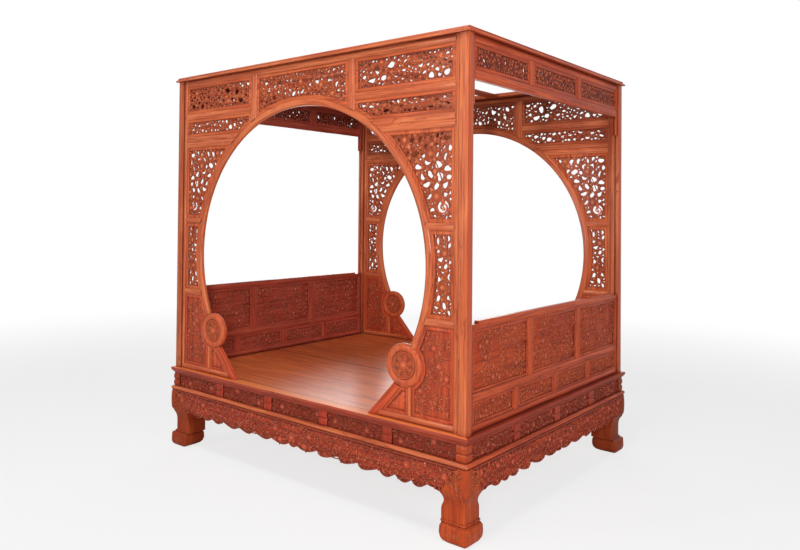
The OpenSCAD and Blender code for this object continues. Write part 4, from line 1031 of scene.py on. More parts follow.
def waist_pieces(materials):
    """Sunk waist panels carved with scrolls, and the ribbed blocks between them."""
    for node, sides in WAIST_NODES.items():
        carving = Carving()
        for side in sides:
            count, pitch = WAIST_COUNT[side], waist_pitch(side)
            half = (pitch - BLOCK) / 2
            here = (-half, half, WAIST_LOW, WAIST_HIGH)
            edges = box_opening(*here)[0]
            board = board_shell(*box_board(here, 0.0), half=WAIST_BOARD, rows=4)

            def room(u, v):
                """Distance into the panel, and a millimetre more."""
                return inside(edges, u, v) + 0.001

            for i in range(count):
                look = i % WAIST_LOOKS
                chisel = Chisel(False, WAIST_SINK, WAIST_DEPTH)
                circles = packed(room, (-half, WAIST_LOW), (half, WAIST_HIGH), WAIST_FORMS,
                                 SEEDS["waist"] + look)
                foliage(chisel, circles, SEEDS["waist_forms"] + look)
                centre, turn = (i - (count - 1) / 2) * pitch, 1 if i % 2 else -1

                def place(p):
                    """u mirrored from panel to panel, w taken from the sunk face."""
                    return on_side(side, turn * p[..., 0] + centre, WAIST_FACE - p[..., 2], p[..., 1])

                carving.put(chisel.shells + [board], place)
        carving.piece(node.replace("panels", "reliefs"), materials["waist"], "carved_wood", node)

    blocks = Carving()
    z, rib, relief = waist_ribs(1)
    wide = len(BLOCK_U)
    y = np.repeat(rib[:, None], wide, 1) + BLOCK_CORNER
    y[:, [0, -1]] = BLOCK_BACK
    for side, count in WAIST_COUNT.items():
        for i in range(1, count):
            u = BLOCK_U[None] + (i - count / 2) * waist_pitch(side)
            points = on_side(side, u, y, np.repeat(z[:, None], wide, 1))
            blocks.add(points.reshape(-1, 3), tube_faces(RIB_ROWS, wide), np.repeat(relief, wide))
    blocks.piece("waist_block_ribs", materials["block"], "frame_wood", "waist_blocks")


# Lower edge of an apron: the bud in its middle and its angles, points of a lobe and of the arch,
# the flat before the arch, and how far the mitre runs aside for each metre down
BUD, BUD_ANGLES = 0.9 * LOBE_DROP, np.arange(0, 76, 15)
LOBE_POINTS, ARCH_POINTS = 25, 7
FLAT = 0.012
MITRE_RUN = 0.8


def apron_half(length):
    """Lower edge of the right half of an apron: bud, skewed lobes, flat, arch and mitre."""
    clear = length / 2 - ARCH_FAR - ARCH_R
    a = np.radians(BUD_ANGLES)
    points = [np.stack([BUD * np.sin(a), APRON_EDGE - BUD * np.cos(a)], -1)]
    t = np.linspace(0, 1, LOBE_POINTS)
    for start, end, skew in LOBES_LONG if length == BED_L else LOBES_SHORT:
        points.append(np.stack([clear * (start + (end - start) * t),
                                APRON_EDGE - LOBE_DROP * np.sin(np.pi * t**skew)], -1))
    points.append([[clear - FLAT, ARCH_Z + ARCH_R]])
    a = np.radians(np.linspace(90, ARCH_TURN, ARCH_POINTS))
    points.append(np.stack([clear + ARCH_R * np.cos(a), ARCH_Z + ARCH_R * np.sin(a)], -1))
    return np.concatenate(points)


def mitre_at(z):
    """Distance of the mitre between leg and apron from the post's plane."""
    return KNEE + MITRE_RUN * (APRON_TOP - z)


# The last whole degree at which the arch still lies short of the mitre
turns = np.radians(np.arange(91))
ARCH_TURN = np.max(np.arange(91)[ARCH_FAR + ARCH_R - ARCH_R * np.cos(turns)
                                 < mitre_at(ARCH_Z + ARCH_R * np.sin(turns))])

# Rows of an apron's section: share of its height, how far back it lies, and its relief
APRON_ROWS = np.array([0, 0.03, 0.09, 0.2, 0.35, 0.5, 0.65, 0.8, 0.92, 1.0])
APRON_ROUND = np.array([0.006, 0.0015] + [0] * 8)
APRON_RELIEF = [0.9, 0.5, 0.1, 0, 0, 0, 0, 0, 0.1, 0.5, 0, 0]
APRON_BACK = 0.012

# Carving of an apron: its sink and height, the flower in its middle, and a curl beside the flower
FACE_SINK = -0.0006
APRON_DEPTH, APRON_FLOWER_DEPTH = 0.0075, 0.0095
APRON_FLOWER = np.array([[0.0], [APRON_EDGE + 0.035], [0.034], [0.5]])
APRON_CURL = (0.036, APRON_TOP - 0.055, 0.030, CURL)

# Beads of an apron: half widths, heights, and how far they lie from its edge and its top
LOBE_BEAD, LOBE_BEAD_LIFT, LOBE_BEAD_UP = 0.0042, 0.62, 0.0065
TOP_BEAD, TOP_BEAD_LIFT, TOP_BEAD_DOWN = 0.0035, 0.5, 0.005
TOP_BEAD_POINTS = 40

# Room for the carving over the lobes, under the top bead, before the mitre and over the middle,
# and the slope's length for each metre down
LOBE_ROOM, TOP_ROOM, MITRE_OVER, MIDDLE_OVER = 0.006, 0.009, 0.012, 0.002
MITRE_SLOPE = 1.28


def apron_pieces(side, materials):
    """An apron: a section swept from mitre to mitre between its lobed lower edge and its top,
    with a bead along the lobes, one under the moulding, and scrolls on the swelling face."""
    length, name = SIDE_LEN[side], SIDE_NAMES[side]
    half = length / 2
    low = apron_half(length)
    top_u = low[:, 0] * (half - KNEE) / low[-1, 0]
    u = low[:, :1] + (top_u[:, None] - low[:, :1]) * APRON_ROWS
    z = low[:, 1:] + (APRON_TOP - low[:, 1:]) * APRON_ROWS
    y = -face_at(z) + APRON_ROUND
    u = np.concatenate([u, u[:, [-1, 0]]], 1)
    z = np.concatenate([z, z[:, [-1, 0]]], 1)
    y = np.concatenate([y, np.full((len(low), 2), APRON_BACK)], 1)
    flat = np.stack([u, y, z], -1)
    flat = np.concatenate([flat[:0:-1] * [-1, 1, 1], flat])
    apron = Carving()
    apron.add(on_side(side, flat[..., 0], flat[..., 1], flat[..., 2]).reshape(-1, 3),
              tube_faces(len(flat), len(APRON_RELIEF)), np.tile(APRON_RELIEF, len(flat)))

    def lower_at(at):
        """Height of the lobed edge, between its points."""
        return np.interp(at, low[:, 0], low[:, 1])

    def room(u, v):
        """Distance from the lobed edge, the top bead, the mitre and the middle, the least of
        them."""
        to_mitre = (half - mitre_at(v) - u) / MITRE_SLOPE
        return np.min([v - lower_at(u) - LOBE_ROOM, APRON_TOP - TOP_ROOM - v, to_mitre + MITRE_OVER,
                       u + MIDDLE_OVER + 0 * v], 0)

    chisel = Chisel(False, FACE_SINK, APRON_DEPTH)
    circles = packed(room, (0, APRON_EDGE - LOBE_DROP), (half, APRON_TOP), APRON_FORMS,
                     SEEDS["apron"] + side % 2, given=[APRON_CURL])
    foliage(chisel, circles, SEEDS["apron_forms"])
    lobe_bead = low + [0, LOBE_BEAD_UP]
    top_bead = np.stack([np.linspace(0, half - KNEE, TOP_BEAD_POINTS),
                         np.full(TOP_BEAD_POINTS, APRON_TOP - TOP_BEAD_DOWN)], -1)
    chisel.stems(lobe_bead[None], LOBE_BEAD, LOBE_BEAD, LOBE_BEAD_LIFT)
    chisel.stems(top_bead[None], TOP_BEAD, TOP_BEAD, TOP_BEAD_LIFT)
    for mirror in (1, -1):
        apron.put(chisel.shells, apron_place(side, mirror))
    flower = Chisel(False, FACE_SINK, APRON_FLOWER_DEPTH)
    flower.flowers(*APRON_FLOWER)
    apron.put(flower.shells, apron_place(side))
    material = materials["relief_x" if side in (FRONT, REAR) else "apron_y"]
    apron.piece(name + "_apron_carving", material, "carved_wood", "apron_" + name)


# Profiles of a leg: distance from the post's planes, and height
LEG_OUTER = np.array([
    [0.000, 0.000], [-0.008, 0.006], [-0.013, 0.016], [-0.0145, 0.030], [-0.014, 0.042], [-0.0135, 0.060],
    [-0.0125, 0.074], [-0.0105, 0.0800], [-0.0060, 0.0830], [0.0035, 0.0850], [0.0045, 0.0860],
    [0.0030, 0.0875], [0.0020, 0.0900], [0.0030, 0.0925], [0.0050, 0.0945], [0.0095, 0.0955],
    [0.010, 0.100], [0.010, 0.130], [0.010, 0.160], [0.0095, 0.172], [0.0078, 0.186],
    [0.0030, 0.202], [-0.0045, 0.218], [-0.0112, 0.232]])
LEG_INNER = np.array([
    [0.104, 0.000], [0.120, 0.008], [0.132, 0.022], [0.138, 0.042], [0.137, 0.074], [0.132, 0.0815],
    [0.136, 0.085], [0.143, 0.089], [0.142, 0.096], [0.142, 0.146], [0.140, 0.156], [0.134, 0.168],
    [0.128, 0.179], [0.126, 0.190]])

# A leg's section: a square with rounded corners, four points to a side
SIDE_SHARES = np.array([0, 0.12, 0.5, 0.88])
CORNER_WAYS = [(0, 0, 1, 0), (1, 0, 0, 1), (1, 1, -1, 0), (0, 1, 0, -1)]
ROUNDING = 0.0022

# Top of the outer table, and heights between those of the tables: through the column, and up the
# knee
PROFILE_TOP = 0.235
LEG_ROWS = [np.linspace(0.1, 0.19, 8), np.linspace(0.192, APRON_TOP, 34)]

# Carving of a leg: places along the face and up it, then radius, turn and hand of a curl, or
# turn of a leaf; length, width, bend and height of the leaves
KNEE_DEPTH, FOOT_DEPTH = 0.0060, 0.0028
LONG_LEAF, SMALL_LEAF = (0.042, 0.011, 0.25, 0.8), (0.036, 0.009, -0.25, 0.7)
FOOT_LEAF = (0.038, 0.010, 0.2, 0.8)
CARVED_FROM = 0.25
KNEE_CURLS = np.array([[0.030, 0.262, 0.019, -1.2, 1.0], [0.062, 0.292, 0.017, 0.4, -1.0],
                       [0.034, 0.318, 0.015, 2.0, 1.0]])
KNEE_LEAVES = np.array([[0.012, 0.205, 1.25], [0.026, 0.246, 0.9], [0.052, 0.262, 0.6],
                        [0.075, 0.300, 1.5], [0.060, 0.335, 2.8]])
KNEE_SMALL_LEAVES = np.array([[0.004, 0.335, -0.6], [0.086, 0.272, 1.4], [0.02, 0.23, 0.2]])
FOOT_MIDDLE = 0.062
FOOT_CURLS = np.array([[FOOT_MIDDLE - 0.024, 0.047, 0.019, 0.3, -1.0],
                       [FOOT_MIDDLE + 0.024, 0.047, 0.019, 2.84, 1.0]])
FOOT_LEAVES = np.array([[FOOT_MIDDLE, 0.026, 1.2], [FOOT_MIDDLE, 0.026, 1.94]])
LEG_WAYS = {"front_left": (-1, -1), "front_right": (1, -1), "rear_left": (-1, 1), "rear_right": (1, 1)}


def outer_at(z):
    """Outer profile of a leg: the table below the knee, the apron's swelling face above."""
    return np.where(z < PROFILE_TOP, np.interp(z, LEG_OUTER[:, 1], LEG_OUTER[:, 0]), -face_at(z))


def inner_at(z):
    """Inner profile of a leg: the table below the arch, then the arch, held back by the mitre."""
    arch = ARCH_FAR + ARCH_R - np.sqrt(np.maximum(ARCH_R**2 - np.maximum(z - ARCH_Z, 0) ** 2, 0))
    below_arch = np.interp(z, LEG_INNER[:, 1], LEG_INNER[:, 0])
    return np.minimum(np.where(z <= ARCH_Z, below_arch, arch), mitre_at(z))


def leg_pieces(materials):
    """A leg: rounded squares stacked along its height, between an outer profile and an inner
    one that follows the arch and the mitre, with cloud carving at the knee and on the foot."""
    z = np.unique(np.round(np.concatenate([LEG_OUTER[:, 1], LEG_INNER[:, 1]] + LEG_ROWS), 5))
    outer, inner = outer_at(z), inner_at(z)
    ring_a = np.concatenate([way[0] + way[2] * SIDE_SHARES for way in CORNER_WAYS])
    ring_b = np.concatenate([way[1] + way[3] * SIDE_SHARES for way in CORNER_WAYS])
    soften = ROUNDING * np.array([1.0, 0, 0, 0] * len(CORNER_WAYS))
    span = (inner - outer)[:, None]
    a = outer[:, None] + span * ring_a + soften * np.sign(0.5 - ring_a)
    b = outer[:, None] + span * ring_b + soften * np.sign(0.5 - ring_b)

    knee = Chisel(False, FACE_SINK, KNEE_DEPTH)
    knee.curls(*KNEE_CURLS.T)
    knee.leaves(*KNEE_LEAVES.T, *LONG_LEAF)
    knee.leaves(*KNEE_SMALL_LEAVES.T, *SMALL_LEAF)
    foot = Chisel(False, FACE_SINK, FOOT_DEPTH)
    foot.curls(*FOOT_CURLS.T)
    foot.leaves(*FOOT_LEAVES.T, *FOOT_LEAF)

    neck_z, rib, neck_relief = waist_ribs(PLAIN_RELIEF)
    back = np.full(RIB_ROWS, POST)
    neck_a, neck_b = np.stack([rib, back, back, rib], 1), np.stack([rib, rib, back, back], 1)
    for name, (sx, sy) in LEG_WAYS.items():
        def place(p_a, p_b, p_z):
            """Distances from the post's two outer planes, mirrored to this corner of the bed."""
            return np.stack([sx * (BED_L / 2 - p_a), sy * (BED_D / 2 - p_b), p_z], -1)

        leg = Carving()
        around = len(ring_a)
        points = place(a, b, np.repeat(z[:, None], around, 1))
        leg.add(points.reshape(-1, 3), tube_faces(len(z), around), PLAIN_RELIEF)
        for points, faces, relief in knee.shells + foot.shells:
            u, v, w = points[..., 0], points[..., 1], points[..., 2]
            sunk = outer_at(v) - w
            relief = CARVED_FROM + (1 - CARVED_FROM) * relief
            leg.add(place(u, sunk, v), faces, relief)
            leg.add(place(sunk, u, v), faces, relief)
        neck = place(neck_a, neck_b, np.repeat(neck_z[:, None], 4, 1))
        leg.add(neck.reshape(-1, 3), tube_faces(RIB_ROWS, 4), np.repeat(neck_relief, 4))
        # all legs but the front right one get the painted-shade copy of the leg wood
        leg.piece("leg_" + name + "_carving", materials["leg" if name == "front_right" else "leg_shaded"],
                  "leg_wood", "leg_" + name)


# Materials: varnished rosewood, the same make-up for every board with its own grain direction


class Tree:
    """Short words for building a node tree."""

    def __init__(self, tree):
        self.tree = tree

    def node(self, kind, props=None, **inputs):
        """A node with its properties; i0, i1 and so on name inputs by number, other words by
        name. A value is set, a socket is linked."""
        made = self.tree.nodes.new(kind)
        for key, value in (props or {}).items():
            setattr(made, key, value)
        for key, value in inputs.items():
            socket = made.inputs[int(key[1:])] if key[0] == "i" and key[1:].isdigit() else made.inputs[key]
            if isinstance(value, bpy.types.NodeSocket):
                self.tree.links.new(value, socket)
            else:
                socket.default_value = value
        return made

    def math(self, operation, a, b=0.0, c=0.0):
        """A sum, product or the like of up to three values."""
        return self.node("ShaderNodeMath", {"operation": operation}, i0=a, i1=b, i2=c).outputs[0]

    def mix(self, factor, a, b):
        """Colour a where the factor is 0, colour b where it is 1."""
        props = {"data_type": "RGBA", "blend_type": "MIX", "clamp_factor": True}
        return self.node("ShaderNodeMix", props, i0=factor, i6=a, i7=b).outputs[2]

    def steps(self, value, low, high, to_low=0.0, to_high=1.0):
        """A smooth step from to_low, at low and under, to to_high, at high and over."""
        return self.node("ShaderNodeMapRange", {"interpolation_type": "SMOOTHSTEP"}, i0=value, i1=low,
                         i2=high, i3=to_low, i4=to_high).outputs[0]

    def noise(self, vector, scale, detail=2.0, rough=0.5, distortion=0.0):
        """Noise from 0 to 1, scale cells to a metre."""
        made = self.node("ShaderNodeTexNoise", None, Vector=vector, Scale=scale, Detail=detail,
                         Roughness=rough, Distortion=distortion)
        return made.outputs[0]

    def stretched(self, vector, x, y, z):
        """A vector with each part multiplied."""
        props = {"operation": "MULTIPLY"}
        return self.node("ShaderNodeVectorMath", props, i0=vector, i1=(x, y, z)).outputs[0]

    def split(self, vector):
        """The x, y and z of a vector."""
        return self.node("ShaderNodeSeparateXYZ", None, i0=vector).outputs

    def joined(self, x, y, z):
        """A vector of three values."""
        return self.node("ShaderNodeCombineXYZ", None, i0=x, i1=y, i2=z).outputs[0]


def group(name, inputs, outputs, build):
    """A shared node group: sockets as (name, type), its inside made by a function."""
    tree = bpy.data.node_groups.new(name, "ShaderNodeTree")
    for socket, kind in inputs:
        tree.interface.new_socket(socket, in_out="INPUT", socket_type=kind)
    for socket, kind in outputs:
        tree.interface.new_socket(socket, in_out="OUTPUT", socket_type=kind)
    source, sink = tree.nodes.new("NodeGroupInput"), tree.nodes.new("NodeGroupOutput")
    for (socket, kind), value in zip(outputs, build(Tree(tree), source.outputs)):
        tree.links.new(value, sink.inputs[socket])
    return tree


VALUE, COLOR, VECTOR = "NodeSocketFloat", "NodeSocketColor", "NodeSocketVector"


def grain_inside(t, given):
    """Figure, streaks, dark veins and pores of rosewood, all drawn out along the grain (x)."""
    v, light, middle, dark = given["Grain"], given["Light"], given["Middle"], given["Dark"]
    figure = t.noise(t.stretched(v, 0.16, 1, 1), 16.0, 2.0, 0.5, 0.8)
    tone = t.noise(t.stretched(v, 0.5, 1, 1), 2.2, 1.0)
    band = t.noise(t.stretched(v, 0.030, 1, 1), 46.0, 2.0, 0.55, 0.4)
    streak = t.noise(t.stretched(v, 0.025, 1, 1), 150.0, 3.0, 0.6, 0.3)
    wave = t.math("PINGPONG", t.math("MULTIPLY", figure, 9.0), 1.0)
    vein = t.math("MULTIPLY", t.steps(wave, 0.80, 1.0), t.steps(tone, 0.42, 0.62))
    pores = t.steps(t.noise(t.stretched(v, 0.03, 1, 1), 620.0, 2.0, 0.7), 0.60, 0.72)
    color = t.mix(t.steps(figure, 0.32, 0.68), light, middle)
    color = t.mix(t.math("MULTIPLY", t.steps(band, 0.44, 0.66), 0.50), color, middle)
    color = t.mix(t.math("MULTIPLY", t.steps(band, 0.56, 0.70), 0.60), color, dark)
    color = t.mix(t.math("MULTIPLY", t.steps(streak, 0.46, 0.66), 0.62), color, dark)
    color = t.mix(t.math("MULTIPLY", vein, 0.80), color, dark)
    color = t.mix(t.math("MULTIPLY", pores, 0.35), color, dark)
    color = t.mix(t.steps(tone, 0.30, 0.75, 0.0, 0.30), color, middle)
    rough = t.math("MULTIPLY_ADD", streak, 0.16, t.math("MULTIPLY", pores, 0.08))
    height = t.math("SUBTRACT", t.math("MULTIPLY", streak, 0.35), pores)
    return color, rough, height


wood_grain = group("rosewood_grain",
                   [("Grain", VECTOR), ("Light", COLOR), ("Middle", COLOR), ("Dark", COLOR)],
                   [("Color", COLOR), ("Rough", VALUE), ("Height", VALUE)], grain_inside)


def arris_and_shade_inside(t, given):
    """Rounded arrises: the bevelled normal, how sharply an edge turns, and painted shade in corners, from
    ambient occlusion.
    """
    bevel = t.node("ShaderNodeBevel", {"samples": 4}, Radius=given["Radius"]).outputs[0]
    true = t.node("ShaderNodeNewGeometry").outputs["Normal"]
    turn = t.node("ShaderNodeVectorMath", {"operation": "DOT_PRODUCT"}, i0=bevel, i1=true).outputs["Value"]
    edge = t.steps(t.math("SUBTRACT", 1.0, turn), 0.01, 0.20)
    patch = t.noise(given["Place"], 26.0, 3.0, 0.6)
    # painted shade: ambient occlusion over a short reach darkens corners and creases
    occlusion = t.node("ShaderNodeAmbientOcclusion", {"samples": 4, "only_local": False},
                         Distance=given["Reach"]).outputs["AO"]
    corner_shade_mask = t.steps(occlusion, 0.35, 0.97, 1.0, 0.0)
    return bevel, t.math("MULTIPLY", edge, t.steps(patch, 0.30, 0.65, 0.35, 1.0)), corner_shade_mask


arris_and_shade = group("arris_and_shade", [("Radius", VALUE), ("Place", VECTOR), ("Reach", VALUE)],
                  [("Normal", VECTOR), ("Edge", VALUE), ("Shade", VALUE)], arris_and_shade_inside)


# The darkest streaks; the painted shade of the carving's depths and corners, which is also the dark of open
# joints; and the painted highlight, partly polish, on the highest parts of the carving and its edges
DARK = (0.22, 0.030, 0.014, 1)
SHADE_AND_JOINTS = (0.09, 0.010, 0.007, 1)
POLISH_HIGHLIGHT = (0.84, 0.36, 0.19, 1)

# Rounding of arrises and reach of the painted corner shade, on carved and on plain wood, and height of the
# pores
CARVED_BEVEL, PLAIN_BEVEL = 0.0012, 0.0030
CARVED_REACH, PLAIN_REACH = 0.010, 0.030
BUMP, BUMP_HEIGHT = 0.12, 0.0006


def wood(name, grain, tones, rough=0.24, coat=0.10, carved=0.0, spec=0.10, top_highlight=0.60, foot_shade=0.80,
         haze=0.10, corner_shade=0.82, joints=None, topped=None):
    """A varnished wood: grain in its light and middle tones, edges lighter, partly rubbed and partly painted
    highlight, painted shade in corners and recesses, and a thin coat. Joints darken it, and topped is a mask
    and the tone it brings."""
    material = bpy.data.materials.new(name)
    material.use_nodes = True
    tree = material.node_tree
    tree.nodes.clear()
    t = Tree(tree)
    light, middle = tones
    place = t.node("ShaderNodeTexCoord").outputs["Object"]
    made = t.node("ShaderNodeGroup", {"node_tree": wood_grain}, Grain=grain(t, place), Light=light,
                  Middle=middle, Dark=DARK)
    arris_shade = t.node("ShaderNodeGroup", {"node_tree": arris_and_shade}, Place=place,
                  Radius=CARVED_BEVEL if carved else PLAIN_BEVEL,
                  Reach=CARVED_REACH if carved else PLAIN_REACH)
    color, shine = made.outputs["Color"], t.math("ADD", made.outputs["Rough"], rough)
    # painted shade in corners and creases
    color = t.mix(t.math("MULTIPLY", arris_shade.outputs["Shade"], corner_shade), color, SHADE_AND_JOINTS)
    worn_highlight = tuple(min(1.0, 1.35 * c + 0.02) for c in light[:3]) + (1.0,)
    if topped:
        where, tone = topped
        color = t.mix(where(t, place), color, tone)
    if joints:
        color = t.mix(joints(t, place), color, SHADE_AND_JOINTS)
    if carved:
        relief = t.node("ShaderNodeAttribute", {"attribute_name": "relief"}).outputs["Fac"]
        # painted shade at the foot of the carved forms and in low relief
        foot = t.math("MULTIPLY", t.steps(relief, 0.02, 0.08), t.steps(relief, 0.20, 0.50, foot_shade, 0.0))
        color = t.mix(t.math("MAXIMUM", foot, t.steps(relief, 0.0, 0.60, carved, 0.0)), color, SHADE_AND_JOINTS)
        shine = t.math("ADD", shine, t.steps(relief, 0.0, 0.5, 0.14, 0.0))
        # painted highlight on the highest parts of the carving
        color = t.mix(t.steps(relief, 0.62, 0.95, 0.0, top_highlight), color, POLISH_HIGHLIGHT)
        worn_highlight = POLISH_HIGHLIGHT
    # edges lighter: partly rubbed, partly painted highlight
    color = t.mix(t.math("MULTIPLY", arris_shade.outputs["Edge"], 0.55 if carved else 0.60), color, worn_highlight)
    normal = t.node("ShaderNodeBump", None, Strength=BUMP, Distance=BUMP_HEIGHT,
                    Height=made.outputs["Height"], Normal=arris_shade.outputs["Normal"]).outputs[0]
    shader = t.node("ShaderNodeBsdfPrincipled", None, Roughness=shine, Normal=normal)
    tree.links.new(color, shader.inputs["Base Color"])
    shader.inputs["Specular IOR Level"].default_value = spec
    shader.inputs["Coat Weight"].default_value = coat
    shader.inputs["Coat Roughness"].default_value = haze
    out = t.node("ShaderNodeOutputMaterial")
    tree.links.new(shader.outputs[0], out.inputs[0])
    return material


def along_x(t, place):
    """Grain along the bed, as the figure is drawn."""
    return place


def along_y(t, place):
    """Grain across the bed: y takes the place of x."""
    x, y, z = t.split(place)
    return t.joined(y, x, z)


def upright(t, place):
    """Grain up the bed: z takes the place of x."""
    x, y, z = t.split(place)
    return t.joined(z, x, y)


def framed(axis, bars):
    """Grain along a side in its rails and upright in its stiles and muntins. Each bar is the
    distance of its middle from the middle of the side, half its width, and its z range."""

    def grain(t, place):
        """Upright grain where the place lies in any bar, level grain elsewhere."""
        x, y, z = t.split(place)
        along, across = (x, y) if axis == 0 else (y, x)
        distance = t.math("ABSOLUTE", along)
        mask = None
        for middle, half, low, high in bars:
            near = t.math("LESS_THAN", t.math("ABSOLUTE", t.math("SUBTRACT", distance, middle)), half)
            inside_z = t.math("LESS_THAN", t.math("ABSOLUTE", t.math("SUBTRACT", z, (low + high) / 2)),
                              (high - low) / 2)
            one = t.math("MULTIPLY", near, inside_z)
            mask = one if mask is None else t.math("MAXIMUM", mask, one)
        lying, standing = t.joined(along, across, z), t.joined(z, along, across)
        mixed = t.node("ShaderNodeMix", {"data_type": "VECTOR"}, i0=mask, i4=lying, i5=standing)
        return mixed.outputs[1]

    return grain


def round_the_gate(t, place):
    """Grain that follows the ring: distance run along the arc, and radius."""
    x, y, z = t.split(place)
    rise = t.math("SUBTRACT", z, GATE_Z)
    run = t.math("MULTIPLY", t.math("ARCTAN2", x, rise), RING_MID)
    radius = t.math("SQRT", t.math("ADD", t.math("MULTIPLY", x, x), t.math("MULTIPLY", rise, rise)))
    return t.joined(run, radius, y)


def along_strut(t, place):
    """Grain along the slanting struts, mirrored left and right."""
    x, y, z = t.split(place)
    x = t.math("ABSOLUTE", x)
    c, s = math.cos(STRUT_SLOPE), math.sin(STRUT_SLOPE)
    run = t.math("ADD", t.math("MULTIPLY", x, c), t.math("MULTIPLY", z, s))
    rise = t.math("SUBTRACT", t.math("MULTIPLY", z, c), t.math("MULTIPLY", x, s))
    return t.joined(run, rise, y)


DECK_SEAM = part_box("deck_board_front")[1].y
DECK_EDGE = -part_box("deck_board_front")[0].y
BOARD_W = (DECK_EDGE + DECK_SEAM) / 4


def board_grain(t, place):
    """Lengthwise boards of the deck: each takes its grain from another place."""
    x, y, z = t.split(place)
    board = t.math("FLOOR", t.math("DIVIDE", t.math("SUBTRACT", y, DECK_SEAM), BOARD_W))
    return t.joined(t.math("ADD", x, t.math("MULTIPLY", board, 3.7)), t.math("ADD", y, board), z)


def lit_rail_top(t, place):
    """The flat top of the platform rails, painted light in the deck's lit tone."""
    return t.steps(t.split(place)[2], DECK_Z - 0.0012, DECK_Z - 0.0004)


def post_side_shade(t, place):
    """The crowned faces of the posts that look along the bed, painted in shade, so that they come out darker
    than the front ones."""
    return t.steps(t.math("ABSOLUTE", t.split(place)[0]), BED_L / 2 - 0.0034, BED_L / 2 - 0.0030, 0.0, 0.6)


def deck_joints(t, place):
    """Dark at the open joints: round the deck's edge, at its seam, and faintly between boards."""
    y = t.split(place)[1]
    from_seam = t.math("ABSOLUTE", t.math("SUBTRACT", y, DECK_SEAM))
    from_edge = t.math("ABSOLUTE", t.math("SUBTRACT", t.math("ABSOLUTE", y), DECK_EDGE))
    open_joint = t.steps(t.math("MINIMUM", from_seam, from_edge), 0.0060, 0.0100, 0.9, 0.0)
    from_board = t.math("PINGPONG", from_seam, BOARD_W / 2)
    return t.math("MAXIMUM", open_joint, t.steps(from_board, 0.0010, 0.0030, 0.5, 0.0))


# Light and middle tone of each wood
FRAME_TONES = (0.74, 0.205, 0.074, 1), (0.56, 0.120, 0.044, 1)
OPEN_TONES = (0.74, 0.170, 0.056, 1), (0.56, 0.104, 0.036, 1)
CARVED_TONES = (0.68, 0.110, 0.036, 1), (0.52, 0.068, 0.024, 1)
# painted shade: darker, redder tones for the ends and the rails across the bed
END_SHADED_TONES = (0.70, 0.125, 0.040, 1), (0.52, 0.075, 0.026, 1)
# the left end in painted shade: darker, bluer copies of the end tones
LEFT_SHADED_TONES = (0.50, 0.094, 0.050, 1), (0.37, 0.058, 0.034, 1)
LEFT_SHADED_CARVED_TONES = (0.56, 0.100, 0.056, 1), (0.43, 0.064, 0.038, 1)
# aprons, waist, legs and blocks: darker, partly the wood's own tone, partly painted shade of the base
APRON_TONES = (0.62, 0.086, 0.034, 1), (0.48, 0.055, 0.024, 1)
WAIST_TONES = (0.50, 0.056, 0.026, 1), (0.38, 0.038, 0.018, 1)
LEG_TONES = (0.56, 0.094, 0.024, 1), (0.42, 0.060, 0.018, 1)
# the deck's tone: partly the boards' own, partly painted light and sheen
DECK_LIT_TONES = (0.90, 0.245, 0.066, 1), (0.70, 0.150, 0.040, 1)
# painted shade: the platform rails darker than the frames
PLATFORM_SHADED_TONES = (0.46, 0.072, 0.034, 1), (0.34, 0.048, 0.024, 1)
INNER_TONES = (0.36, 0.060, 0.018, 1), FRAME_TONES[1]
BLOCK_TONES = APRON_TONES[1], WAIST_TONES[1]
MEDALLION_TONES = CARVED_TONES[0], FRAME_TONES[1]

# How much each surface shines, how dark the painted shade in its carving is, and how bright the painted
# highlight on its carving
MATT = {"coat": 0.05, "spec": 0.06}
OPENWORK = {"carved": 0.42, "coat": 0.06, "spec": 0.08, "top_highlight": 0.85, "foot_shade": 0.50, "corner_shade": 0.55}
# painted shade: the rear openwork, with a weaker painted highlight
REAR_SHADED_OPENWORK = {**OPENWORK, "top_highlight": 0.55}
WAIST_RELIEF = {"carved": 0.40, "coat": 0.08, "spec": 0.08}
LEG_RELIEF = {"carved": 0.50, "coat": 0.05, "spec": 0.05, "foot_shade": 0.45}
# painted shade in the low parts of shallow reliefs
SHALLOW = 0.22

# Heights well under and over the frames, for bars that run right through them
UNDER_FRIEZE, OVER_FRIEZE, UNDER_DECK, OVER_JAMBS = 1.9, 2.4, 0.4, 2.1


def shaded_copy(tones, share):
    """The same wood painted in shade: both tones multiplied."""
    return [tuple(share * c for c in tone[:3]) + (1,) for tone in tones]


def bar(middle, width, low, high):
    """A bar for framed(): its width is halved."""
    return middle, width / 2, low, high


def end_woods(mark, tones, carved_tones):
    """The four woods of one end: its frieze frame, its railing frame, its openwork and its reliefs."""
    frieze_bars = [bar(THIRD / 2, MUNTIN, END_LOW, UP_TOP),
                   bar(END_Y + STILE / 2, STILE, UNDER_FRIEZE, OVER_FRIEZE)]
    railing_bars = [bar(THIRD / 2, MUNTIN, RAILING_LOW, RAILING_TOP),
                    bar(END_Y + STILE / 2, STILE, UNDER_DECK, RAILING_TOP),
                    bar(QUARTER, MUNTIN, JAMB_FOOT, RAILING_SMALL),
                    bar(0, MUNTIN, JAMB_FOOT, RAILING_SMALL)]
    return {
        "frieze": wood(mark + "_end_frieze", framed(1, frieze_bars), tones, **MATT),
        "railing": wood(mark + "_end_railing", framed(1, railing_bars), tones, **MATT),
        "open_y": wood(mark + "_end_openwork", along_y, carved_tones, carved=0.75, **MATT),
        "relief_y": wood(mark + "_end_reliefs", along_y, carved_tones, carved=SHALLOW, **MATT),
    }


END_WOODS = {
    # the left end's woods are painted in shade
    LEFT: end_woods("left", LEFT_SHADED_TONES, LEFT_SHADED_CARVED_TONES),
    RIGHT: end_woods("right", END_SHADED_TONES, CARVED_TONES),
}

